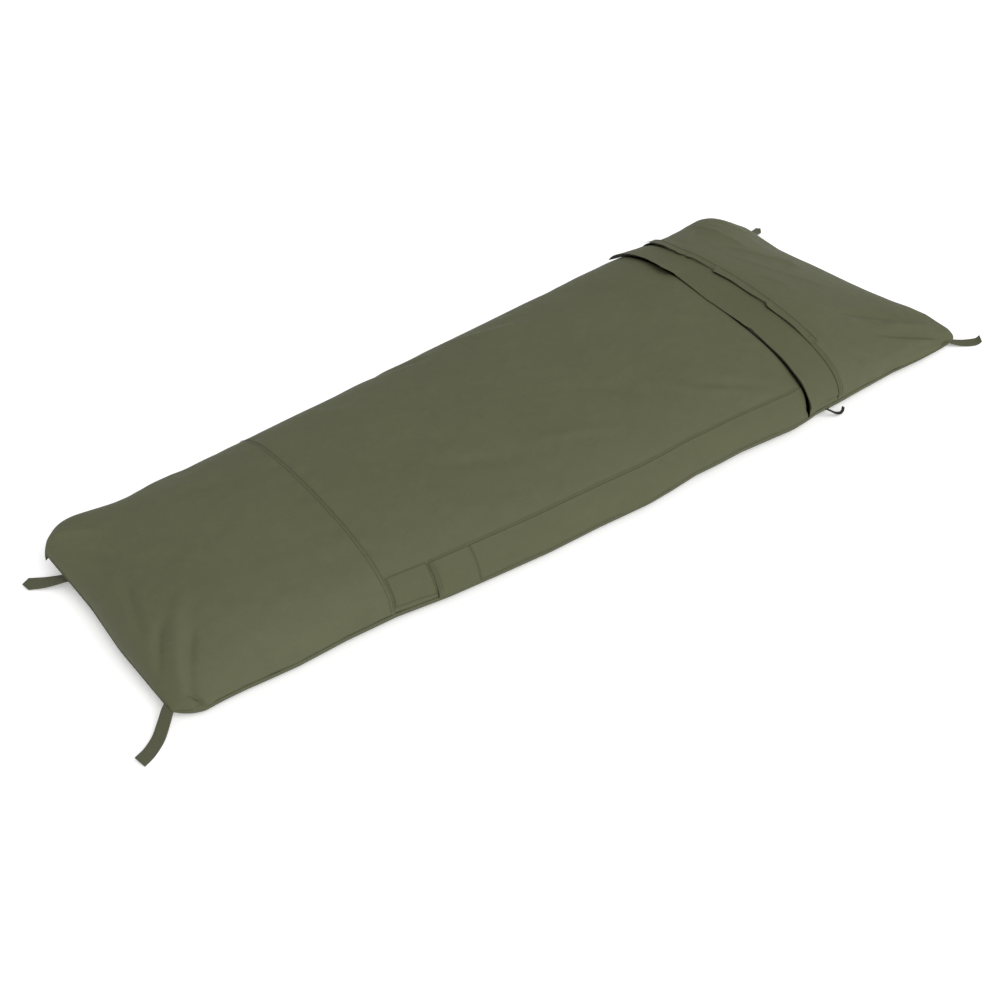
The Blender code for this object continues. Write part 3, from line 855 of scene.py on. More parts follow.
@dataclass
class Wardrobe:
    """Every finish of the sack, made once."""

    shell: ClothFinish = ClothFinish("shell_cloth", (0.1030, 0.1080, 0.0605))
    flap: ClothFinish = ClothFinish("flap_cloth", (0.0975, 0.1020, 0.0560), crinkle=0.0009)
    floor: ClothFinish = ClothFinish("floor_cloth", (0.092, 0.098, 0.0560), 0.58, crinkle=0.0007)
    inside: ClothFinish = ClothFinish("inner_laminate", (0.082, 0.086, 0.055), 0.52, mottle_and_crease_shade=0.06)
    webbing: WebbingFinish = WebbingFinish("olive_webbing", (0.077, 0.080, 0.044))
    tape: WebbingFinish = WebbingFinish("black_tape", (0.011, 0.011, 0.011), 0.008, 0.0012, 0.00008)
    zip_tape: WebbingFinish = WebbingFinish("zip_tape", (0.022, 0.023, 0.017), 0.012, 0.0009, 0.00005)
    thread: SpunFinish = SpunFinish("olive_thread", (0.082, 0.086, 0.048), 2600.0, 0.0001)
    hooks: SpunFinish = SpunFinish("hook_pad", (0.030, 0.032, 0.022), 1100.0, 0.0005)
    loops: SpunFinish = SpunFinish("loop_pad", (0.036, 0.038, 0.027), 700.0, 0.0008)
    teeth: HardFinish = HardFinish("zip_teeth", (0.015, 0.016, 0.013), (0.035, 0.036, 0.030))
    metal: HardFinish = HardFinish("zip_slider", (0.032, 0.032, 0.033), (0.20, 0.19, 0.18), 0.34, 0.9)
    seam_tape: ClothFinish = ClothFinish("seam_tape", (0.20, 0.205, 0.185), 0.42, crinkle=0.0004, specular=0.4)
    made: dict[str, bpy.types.Material] = field(default_factory=dict)

    def get(self, name: str) -> bpy.types.Material:
        """The material of a finish, made the first time it is asked for."""
        if name not in self.made:
            self.made[name] = getattr(self, name).make()
        return self.made[name]


# ---------------------------------------------------------------- the draped shell

@dataclass
class Shell:
    """The bag's top cloth as it settles over its filling; every panel is laid on it."""

    form: BagForm
    rows: int = 236
    columns: int = 112
    frames: int = 22
    spare: float = 0.020
    hold: float = 0.26
    most: float = 0.010
    seam_reach: float = 0.003
    ironing: int = 5
    waves: float = 0.0012
    fold_gain: float = 1.5
    folds: tuple[Crease, ...] = FOLDS
    drift: Array = field(default_factory=lambda: np.zeros((4, 4, 3)))

    def row_x(self, share: Array) -> Array:
        """Places along the bag for shares of it, closer together near both ends."""
        t = 2.0 * share - 1.0
        run = 0.55 * t + 0.45 * np.sign(t) * (1.0 - (1.0 - np.abs(t)) ** 2.0)
        return 0.5 * (self.form.foot_x + self.form.head_x) + 0.5 * (self.form.head_x - self.form.foot_x) * run

    def row_share(self, x: Array) -> Array:
        """The share of the bag's length at a place, the inverse of row_x."""
        shares = np.linspace(0.0, 1.0, 801)
        return np.interp(x, self.row_x(shares), shares)

    def settle(self) -> None:
        """Lets slightly oversized cloth settle over the form, held at its seams, and keeps how it moved."""
        share, turn = np.meshgrid(np.linspace(0.0, 1.0, self.rows), np.linspace(0.0, math.pi, self.columns),
                                  indexing="ij")
        x = self.row_x(share)
        start = self.form.section(x, turn) + self.form.sway(x, turn)
        outward = self.face(lambda a, b: self.form.section(a, b) + self.form.sway(a, b), x, turn)
        inside = ease(0.0, 0.30, turn) * (1.0 - ease(math.pi - 0.30, math.pi, turn))
        inside = inside * ease(-1.125, -1.06, x) * (1.0 - ease(1.08, 1.14, x))
        small = (0.6 * soft_noise(self.rows, self.columns, (26, 14), 11)
                 + 0.4 * soft_noise(self.rows, self.columns, (52, 26), 12))
        began = start + outward * (small * self.waves * inside)[..., None]
        mesh = bpy.data.meshes.new("settling_cloth")
        mesh.from_pydata(began.reshape(-1, 3).tolist(), [], grid_quads(self.rows, self.columns).tolist())
        sheet = bpy.data.objects.new("settling_cloth", mesh)
        bpy.context.scene.collection.objects.link(sheet)
        held = sheet.vertex_groups.new(name="held")
        border = np.zeros((self.rows, self.columns), bool)
        border[[0, 1, -1, -2], :], border[:, [0, -1]] = True, True
        border |= np.abs(x - self.form.foot_seam_x) < self.seam_reach
        held.add(np.flatnonzero(border.ravel()).tolist(), 1.0, "REPLACE")
        held.add(np.flatnonzero(~border.ravel()).tolist(), self.hold, "REPLACE")
        cloth = sheet.modifiers.new("cloth", "CLOTH")
        settings = cloth.settings
        settings.quality, settings.mass, settings.time_scale = 5, 0.12, 1.0
        settings.tension_stiffness = settings.compression_stiffness = 12.0
        settings.shear_stiffness, settings.bending_stiffness = 4.0, 0.9
        settings.tension_damping = settings.compression_damping = settings.shear_damping = 6.0
        settings.vertex_group_mass, settings.pin_stiffness = "held", 1.0
        settings.shrink_min = -self.spare
        settings.use_pressure, settings.uniform_pressure_force = True, 0.25
        settings.effector_weights.gravity = 0.0
        cloth.collision_settings.use_collision = False
        cloth.collision_settings.use_self_collision = False
        cloth.point_cache.frame_start, cloth.point_cache.frame_end = 1, self.frames
        scene = bpy.context.scene
        for number in range(1, self.frames + 1):
            scene.frame_set(number)
        settled = sheet.evaluated_get(bpy.context.evaluated_depsgraph_get())
        moved = np.zeros(self.rows * self.columns * 3, np.float32)
        settled.data.vertices.foreach_get("co", moved)
        scene.frame_set(1)
        bpy.data.objects.remove(sheet, do_unlink=True)
        change = moved.astype(float).reshape(start.shape) - start
        for _ in range(self.ironing):
            for axis in (0, 1):
                padded = np.concatenate((np.take(change, [0], axis), change, np.take(change, [-1], axis)), axis)
                count = change.shape[axis]
                before, after = (np.take(padded, range(k, k + count), axis) for k in (0, 2))
                change = 0.5 * change + 0.25 * (before + after)
        reach = np.linalg.norm(change, axis=-1, keepdims=True)
        REPORT.info("the cloth settled by %.1f mm at most, %.1f mm on average", 1000 * reach.max(),
                    1000 * reach.mean())
        self.drift = change * (self.most * np.tanh(reach / self.most) / np.maximum(reach, 1e-9))

    @staticmethod
    def face(place: Callable[[Array, Array], Array], x: Array, angle: Array) -> Array:
        """Outward directions of a surface given by place(x, angle)."""
        step_x, step_angle = 0.0025, 0.010
        lengthwise = place(x + step_x, angle) - place(x - step_x, angle)
        upward = (place(x, np.minimum(angle + step_angle, math.pi))
                  - place(x, np.maximum(angle - step_angle, 0.0)))
        return unit(np.cross(lengthwise, upward))

    def calm(self, x: Array, angle: Array) -> Array:
        """How freely the cloth moves: less beside the zips and under the flaps."""
        chest = 1.0 - 0.75 * ease(0.535, 0.585, x) * (1.0 - ease(0.74, 0.80, x))
        side = 1.0 - 0.6 * ease(-0.53, -0.48, x) * (1.0 - ease(0.56, 0.62, x)) * (
            1.0 - ease(self.form.side_seam_angle, self.form.side_seam_angle + 0.15, angle))
        return chest * side

    def relief(self, x: Array, angle: Array) -> Array:
        """How far folds, puckers and sewn lines lift the cloth from its settled shape."""
        form = self.form
        y = -form.half_width(x) * signed_power(np.cos(angle), 2.0 / form.roundness)
        total = self.fold_gain * sum(fold.rise(x, y) for fold in self.folds)
        at_foot_seam = x - form.foot_seam_x
        pucker = np.sin(y * 118.0) * 0.55 + np.sin(y * 71.0 + 1.3) * 0.45
        total = total + 0.0011 * pucker * hump(at_foot_seam, 0.018, 0.016)
        total = total + 0.0009 * np.sin(y * 97.0 + 0.7) * hump(at_foot_seam, -0.020, 0.015)
        total = total - 0.0022 * hump(at_foot_seam, 0.0, 0.0032)
        gather = np.sin(x * 83.0) * 0.6 + np.sin(x * 47.0 + 0.8) * 0.4
        low = ease(0.0, 0.05, angle) * (1.0 - ease(0.10, 0.34, angle))
        far = ease(0.0, 0.05, math.pi - angle) * (1.0 - ease(0.10, 0.34, math.pi - angle))
        ends = ease(-1.10, -1.02, x) * (1.0 - ease(1.02, 1.12, x))
        return total + 0.0026 * gather * (low + far) * ends

    def surface(self, x: Array, angle: Array) -> Array:
        """Points of the settled cloth, before any lift."""
        row = self.row_share(x) * (self.drift.shape[0] - 1)
        column = np.clip(angle / math.pi, 0.0, 1.0) * (self.drift.shape[1] - 1)
        return (self.form.section(x, angle) + self.form.sway(x, angle)
                + read_grid(self.drift, row, column) * self.calm(x, angle)[..., None])

    def plain_outward(self, x: Array, angle: Array) -> Array:
        """Outward directions of the plain form."""
        x = np.clip(x, self.form.foot_x + 0.003, self.form.head_x - 0.003)
        return self.face(self.form.section, x, np.clip(angle, 0.012, math.pi - 0.012))

    def lay(self, x: Array, angle: Array, lift: Array | float = 0.0, folds: float = 1.0) -> tuple[Array, Array]:
        """Lays a grid of places on the cloth.

        Args:
            x: places along the bag, rows by columns.
            angle: the section's angles.
            lift: distance out of the cloth.
            folds: how much of the cloth's folds it follows.

        Returns:
            The points and their outward directions.
        """
        sewn = ease(0.0, 0.05, angle) * (1.0 - ease(math.pi - 0.05, math.pi, angle))
        height = self.relief(x, angle) * folds * self.calm(x, angle) * sewn + lift
        edge = 1.0 - np.abs(self.form.along(x)) ** 60
        points = self.surface(x, angle) + self.plain_outward(x, angle) * (height * edge)[..., None]
        ahead = np.gradient(points, axis=0)
        upward = np.gradient(points, axis=1)
        facing = np.cross(ahead, upward)
        outward = unit(facing)
        weak = np.linalg.norm(facing, axis=-1) < 1e-10
        outward[weak] = self.plain_outward(x, angle)[weak]
        return points, outward

    def line(self, x: Array, angle: Array, lift: float = 0.0006) -> tuple[Array, Array]:
        """A line on the cloth for stitches, with its outward directions."""
        beside = np.stack((angle - 0.004, angle, angle + 0.004), 1)
        points, _ = self.lay(np.repeat(x[:, None], 3, 1), beside, 0.0)
        outward = self.plain_outward(x, angle)
        return points[:, 1] + outward * lift, outward


@dataclass
class Sewing:
    """What every sub-assembly needs: the shell, the finishes, and how pieces join the model."""

    shell: Shell
    wardrobe: Wardrobe
    fold_start: Vector = Vector((0.05, -0.051, 0.17))
    fold_end: Vector = Vector((0.0787, -0.1257, 0.17))

    @property
    def form(self) -> BagForm:
        """The bag's form."""
        return self.shell.form

    def cloth(self, name: str, grid: tuple[Array, Array], lift: Array | float = 0.0, finish: str = "shell",
              thickness: float = 0.0008, kept: Array | None = None, folds: float = 1.0) -> bpy.types.Object:
        """A panel laid on the shell.

        Args:
            name: the panel's name.
            grid: (x, angle), rows by columns.
            lift: distance out of the shell.
            finish: the finish outside.
            thickness: the cloth's thickness.
            kept: the cells that are cloth.
            folds: how much of the shell's folds it follows.

        Returns:
            The panel.
        """
        points, outward = self.shell.lay(*grid, lift, folds)
        materials = [self.wardrobe.get(finish), self.wardrobe.get("inside")]
        return make_cloth(name, points, outward, thickness, materials, kept)

    def join(self, piece: bpy.types.Object, body: Body | str, slot: str, replaces: Iterable[str] = ()) -> None:
        """Lets a finished piece ride on a body."""
        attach(piece, body.value if isinstance(body, Body) else body)
        if replaces:
            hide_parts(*replaces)
        REPORT.info("%s rides on %s", piece.name, body)

    def fold(self, piece: bpy.types.Object, slot: str, replaces: Iterable[str] = ()) -> None:
        """Attaches a piece to the bag, by way of bend, at the entry corner's fold; no fold is made."""
        self.bend(piece, Body.BAG, Body.CORNER, self.fold_start, self.fold_end, slot, replaces)

    def bend(self, piece: bpy.types.Object, first: Body | str, second: Body | str, start: Vector, end: Vector,
             slot: str, replaces: Iterable[str] = ()) -> None:
        """Bakes a piece's placement and attaches it to the body at the start; the bend to the second body isn't made.

        Args:
            piece: the finished piece.
            first: the body at the start.
            second: the body at the end.
            start: where the bend starts; not used.
            end: where the bend ends; not used.
            slot: the record's material slot; not used.
            replaces: the CAD nodes it stands for.
        """
        names = [body.value if isinstance(body, Body) else body for body in (first, second)]
        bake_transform(piece)
        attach(piece, names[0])
        if replaces:
            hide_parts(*replaces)
        REPORT.info("%s bends from %s to %s", piece.name, *names)

    def stitches(self, name: str, lines: Sequence[tuple[Array, Array]]) -> bpy.types.Object:
        """Stitches in the sack's thread along lines."""
        return make_stitches(name, lines, self.wardrobe.get("thread"))


def grid_of(xs: Array, angles: Array) -> tuple[Array, Array]:
    """A grid of places from rows of x and columns of angle."""
    return np.meshgrid(xs, angles, indexing="ij")


def runs(*stops: tuple[float, float]) -> Array:
    """Places from the first stop on, each stretch at its own spacing.

    Args:
        stops: (place, spacing up to the next place); the last spacing isn't used.

    Returns:
        The places in order.
    """
    places = [np.array([stops[0][0]])]
    for (low, spacing), (high, _) in zip(stops, stops[1:]):
        count = max(1, round((high - low) / spacing))
        places.append(np.linspace(low, high, count + 1)[1:])
    return np.concatenate(places)


# ---------------------------------------------------------------- sub-assemblies

@dataclass
class FootSection:
    """The cloth closed round the feet, its felled seam and the seam's tape inside."""

    sewing: Sewing
    columns: int = 176
    lap: float = 0.003
    tuck_area: float = 0.0011
    tuck_spots: tuple[Spot, ...] = ((-1.1235, 0.10), (-1.1050, 0.02), (-1.0925, 0.400), (-1.0715, 0.135))

    def build(self) -> None:
        """Makes the foot cloth, its seam stitches and the tape."""
        sewing, form = self.sewing, self.sewing.form
        end = form.foot_seam_x + self.lap
        share = np.linspace(0.0, 1.0, 96) ** 1.55
        near = runs((form.foot_seam_x - 0.024, 0.0022), (end, 0.0022))
        xs = form.foot_x + (near[0] - form.foot_x) * share
        grid = grid_of(np.concatenate((xs[:-1], near)), np.linspace(0.0, math.pi, self.columns))
        over = 0.0010 * ease(form.foot_seam_x - 0.008, form.foot_seam_x - 0.001, grid[0])
        cloth = sewing.cloth("foot_cloth", grid, over)
        sewing.join(cloth, Body.BAG, "shell_fabric", ["foot_panel"])
        self.stitch()
        self.tuck()
        tape = sewing.cloth("foot_seam_tape_cloth", grid_of(
            runs((form.foot_seam_x - 0.011, 0.0055), (form.foot_seam_x + 0.011, 0)),
            np.linspace(0.10, math.pi - 0.10, 90)), -0.0026, "seam_tape", 0.0004)
        sewing.join(tape, Body.BAG, "seam_tape", ["foot_seam_tape"])

    def tuck(self) -> None:
        """The pleat folded over beside the right pegging loop; its free edge stands off the cloth."""
        share, up = grid_of(np.linspace(0.0, 1.0, 16), np.linspace(0.0, 1.0, 26))
        root, free, top, point = self.tuck_spots

        def patch(k: int) -> Array:
            low = root[k] + (free[k] - root[k]) * share
            return low + (top[k] + (point[k] - top[k]) * share - low) * up
        lift = -0.0012 + 0.0085 * share ** 1.2 * (0.25 + 0.75 * up) + 0.0010 * share * up ** 6
        cloth = self.sewing.cloth("foot_corner_tuck", (patch(0), patch(1)), lift)
        self.sewing.join(cloth, Body.BAG, "shell_fabric")

    def stitch(self) -> None:
        """Sews the foot seam with two rows."""
        sewing, form = self.sewing, self.sewing.form
        angles = np.linspace(0.03, math.pi - 0.03, 420)
        lines = [sewing.shell.line(np.full_like(angles, form.foot_seam_x + offset), angles, 0.0013)
                 for offset in (0.0012, -0.0062)]
        sewing.join(sewing.stitches("foot_seam_stitches", lines), Body.BAG, "shell_fabric")


@dataclass
class BodySection:
    """The main cloth: the side that stays and the entry corner that folds back."""

    sewing: Sewing
    columns: int = 150
    rows_apart: float = 0.0085
    topstitch: float = 0.024

    def build(self) -> None:
        """Makes the body cloth, the strip below the side zip and the seam's topstitching."""
        sewing, form = self.sewing, self.sewing.form
        seam = form.side_seam_angle
        low = np.linspace(0.0, seam - 0.02, 22)
        angles = np.concatenate((low, np.linspace(seam - 0.008, math.pi, self.columns)))
        xs = runs((form.foot_seam_x + 0.0005, 0.0022), (form.foot_seam_x + 0.026, 0.0055),
                  (form.zip_foot_x, self.rows_apart), (0.596, 0))
        x, angle = grid_of(xs, angles)
        y = form.section(x, angle)[..., 1]
        head = form.storm_edge(y) - 0.0095
        share = (x - form.zip_foot_x) / (xs[-1] - form.zip_foot_x)
        x = np.where(x > form.zip_foot_x, form.zip_foot_x + (head - form.zip_foot_x) * share, x)
        middle_x = 0.5 * (x[:-1, :-1] + x[1:, 1:])
        middle_angle = 0.5 * (angle[:-1, :-1] + angle[1:, 1:])
        kept = (middle_x < form.zip_foot_x) | (middle_angle > seam - 0.012)
        meet = between(((-0.33, 0.0), (-0.26, 1.0), (0.10, 1.0), (0.17, 0.0)), y)
        rise = 0.0021 * meet * ease(0.525, 0.588, x)
        cloth = sewing.cloth("body_cloth", (x, angle), rise, kept=kept)
        sewing.fold(cloth, "shell_fabric", ["body_panel", "entry_corner"])
        strip_x, strip_angle = grid_of(runs((form.zip_foot_x - 0.002, 0.009), (0.588, 0)),
                                       np.linspace(0.0, form.zip_angle - 0.010, 12))
        sunk = -0.0078 * ease(0.0, 0.6 * form.zip_angle, strip_angle)
        strip = sewing.cloth("zip_lower_cloth", (strip_x, strip_angle), sunk, folds=0.0)
        sewing.join(strip, Body.BAG, "shell_fabric")
        along = np.linspace(form.zip_foot_x, 0.575, 900)
        line = sewing.shell.line(along, np.full_like(along, seam + self.topstitch))
        sewing.fold(sewing.stitches("side_seam_stitches", [line]), "shell_fabric")


@dataclass
class SideFlap:
    """The long flap over the side zip, with its sewn foot end and the patch that takes the zip's end."""

    sewing: Sewing
    end_x: float = -0.400
    head_x: float = 0.588
    hem_angle: float = 0.024
    clearance: float = 0.00004

    def sheet_grid(self, start: float, end: float) -> tuple[Array, Array, Array]:
        """The flap's places and its lift between two ends.

        Args:
            start: the foot end.
            end: the head end.

        Returns:
            x, angle and lift.
        """
        form = self.sewing.form
        seam = form.side_seam_angle
        rows = runs((start, 0.0075), (end, 0))
        columns = np.concatenate((np.linspace(0.005, 0.075, 8), np.linspace(0.105, seam - 0.030, 16),
                                  np.linspace(seam - 0.018, seam - 0.004, 3)))
        x, angle = grid_of(rows, columns)
        lean = (x - start) / (end - start)
        if end > 0.0:
            x = x - 0.014 * ease(0.96, 1.0, lean) * (1.0 - ease(0.0, seam, angle))
        hang = 1.0 - ease(0.02, 0.22, angle)
        wave = 0.5 + 0.5 * np.sin(x * 19.0 + 0.6) * np.sin(x * 7.3 + 1.9)
        return x, angle, 0.0016 + 0.0035 * hang * wave + 0.0006 * hump(angle, seam - 0.010, 0.012)

    def build(self) -> None:
        """Makes the flap, its foot end, the patch and their stitches."""
        sewing, form = self.sewing, self.sewing.form
        seam = form.side_seam_angle
        x, angle, lift = self.sheet_grid(self.end_x + self.clearance, self.head_x)
        flap = sewing.cloth("side_flap_cloth", (x, angle), lift, "flap", 0.0009)
        hinge = Vector((0.0, -0.32866, 0.10723))
        down = Vector((0.0, -0.020, -0.028))
        sewing.bend(flap, Body.CORNER, Body.SIDE, hinge, hinge + down, "flap_fabric", ["side_flap"])
        x, angle, lift = self.sheet_grid(form.zip_foot_x - 0.004, self.end_x - self.clearance)
        end = sewing.cloth("side_flap_end_cloth", (x, angle), lift, "flap", 0.0009)
        sewing.fold(end, "flap_fabric", ["side_flap_end"])
        self.patch()
        self.stitch(seam)

    def patch(self) -> None:
        """The square patch between the foot seam and the flap's end."""
        sewing, form = self.sewing, self.sewing.form
        xs = np.concatenate((np.linspace(-0.6045, -0.6005, 3), runs((-0.596, 0.006), (-0.514, 0)),
                             np.linspace(-0.5105, -0.5065, 3)))
        top = form.side_seam_angle + 0.02
        angles = np.concatenate((np.linspace(0.070, 0.085, 3), np.linspace(0.11, top - 0.04, 16),
                                 np.linspace(top - 0.015, top, 3)))
        x, angle = grid_of(xs, angles)
        edge = np.minimum.reduce((ease(-0.606, -0.600, x), 1.0 - ease(-0.512, -0.506, x),
                                  ease(0.068, 0.09, angle), 1.0 - ease(top - 0.02, top, angle)))
        patch = sewing.cloth("zip_end_patch_cloth", (x, angle), 0.0010 + 0.0003 * edge, "flap", 0.0009)
        sewing.join(patch, Body.BAG, "flap_fabric", ["zip_end_patch"])

    def stitch(self, seam: float) -> None:
        """Sews the flap's end down with two rows, and the patch along its edges."""
        sewing = self.sewing
        up = np.linspace(0.03, seam + 0.02, 90)
        ends = [sewing.shell.line(np.full_like(up, x), up, 0.0036) for x in (-0.4985, -0.4925)]
        sewing.fold(sewing.stitches("side_flap_end_stitches", ends), "flap_fabric")
        top = seam + 0.008
        side = np.linspace(0.085, top, 90)
        along = np.linspace(-0.602, -0.509, 90)
        lines = [sewing.shell.line(np.full_like(side, x), side, 0.0015) for x in (-0.602, -0.509)]
        lines += [sewing.shell.line(along, np.full_like(along, a), 0.0015) for a in (0.085, top)]
        sewing.join(sewing.stitches("zip_end_patch_stitches", lines), Body.BAG, "flap_fabric")
        run = np.linspace(self.end_x + 0.002, self.head_x - 0.016, 800)
        hem = sewing.shell.line(run, np.full_like(run, self.hem_angle), 0.0042)
        sewing.join(sewing.stitches("side_flap_hem_stitches", [hem]), Body.SIDE, "flap_fabric")


@dataclass
class StormFlap:
    """The flap over the chest zip: its free edge faces the foot, and pads close it."""

    sewing: Sewing
    hinge_x: float = 0.716
    low_angle: float = 0.105
    high_trim: float = 0.22
    lift: float = 0.0045
    edge_stops: Stops = ((-0.41, 0.590), (-0.385, 0.588), (-0.36, 0.590), (-0.33, 0.590), (-0.28, 0.597),
                         (-0.20, 0.603), (-0.165, 0.607), (-0.14, 0.601), (-0.10, 0.602), (0.0, 0.604),
                         (0.09, 0.614), (0.135, 0.620), (0.150, 0.611), (0.175, 0.606), (0.205, 0.613),
                         (0.25, 0.621), (0.33, 0.625), (0.41, 0.624))
    gap_stops: Stops = ((-0.42, 0.002), (-0.395, 0.006), (-0.35, 0.009), (-0.30, 0.006), (-0.24, 0.0005),
                        (-0.18, -0.0006), (-0.13, 0.0020), (-0.08, -0.0006), (0.02, -0.0008), (0.08, 0.0012),
                        (0.13, 0.0016), (0.150, 0.0120), (0.180, 0.0150), (0.225, 0.010), (0.29, 0.008),
                        (0.35, 0.006), (0.42, 0.010))
    pads: tuple[float, ...] = (-0.30, 0.0, 0.26)

    def build(self) -> None:
        """Makes the flap, its facing underneath, the pads and the stitches."""
        self.facing()
        self.flap()
        self.close_pads()

    def places(self, rows: Array, columns: int) -> tuple[Array, Array, Array]:
        """The flap's places for shares from the hinge to the free edge.

        Args:
            rows: shares, from 0 at the free edge to 1 at the hinge.
            columns: how many places across the bag.

        Returns:
            x, angle and lift.
        """
        form = self.sewing.form
        share, angle = grid_of(rows, np.linspace(self.low_angle, math.pi - self.high_trim, columns))
        y = form.section(np.full_like(angle, 0.65), angle)[..., 1]
        edge = between(self.edge_stops, y)
        hinge = np.minimum(form.placket_edge(y) - 0.0015, self.hinge_x)
        x = edge + (hinge - edge) * share
        free = (1.0 - share) ** 1.6
        lift = self.lift + between(self.gap_stops, y) * free
        lift = lift + 0.0016 * np.sin(y * 24.0) * np.sin(share * math.pi) + 0.0005 * (share < 0.08)
        lift = lift - 0.0035 * (1.0 - ease(self.low_angle, self.low_angle + 0.05, angle)) * (1.0 - share)
        return x, angle, lift

    def flap(self) -> None:
        """The flap itself, with a folded hem."""
        sewing = self.sewing
        rows = np.concatenate((np.linspace(0.0, 0.09, 6), np.linspace(0.12, 1.0, 18)))
        x, angle, lift = self.places(rows, 190)
        cloth = sewing.cloth("storm_flap_cloth", (x, angle), lift, "flap", 0.0010, folds=0.6)
        start, end = Vector((0.716, 0.0, 0.170)), Vector((0.680, 0.0, 0.170))
        sewing.bend(cloth, Body.BAG, Body.STORM, start, end, "flap_fabric", ["storm_flap"])

    def facing(self) -> None:
        """The facing that the flap lies on."""
        sewing, form = self.sewing, self.sewing.form
        share, angle = grid_of(np.linspace(0.0, 1.0, 16), np.linspace(0.0, math.pi, 170))
        y = form.section(np.full_like(angle, 0.65), angle)[..., 1]
        low, high = form.storm_edge(y) - 0.0015, form.placket_edge(y) + 0.004
        cloth = sewing.cloth("entry_facing_cloth", (low + (high - low) * share, angle), 0.0)
        sewing.join(cloth, Body.BAG, "shell_fabric", ["entry_facing"])

    def close_pads(self) -> None:
        """Hook pads on the flap and loop pads on the facing."""
        sewing, form = self.sewing, self.sewing.form
        for number, place in enumerate(self.pads, 1):
            middle = form.angle_at(0.65, place)
            reach = abs(form.angle_at(0.65, place + 0.02) - form.angle_at(0.65, place - 0.02)) / 2.0
            share, angle = grid_of(np.linspace(0.0, 1.0, 8), np.linspace(middle - reach, middle + reach, 12))
            y = form.section(np.full_like(angle, 0.65), angle)[..., 1]
            x = form.storm_edge(y) + 0.010 + 0.025 * share
            for kind, body, lift in (("hook", Body.STORM, self.lift - 0.0014), ("loop", Body.BAG, 0.0015)):
                finish = "hooks" if kind == "hook" else "loops"
                pad = sewing.cloth(f"storm_flap_{kind}_pad_{number}", (x, angle), lift, finish, 0.0011, folds=0.6)
                sewing.join(pad, body, f"{kind}_pad", [f"storm_flap_{kind}_{number}"])


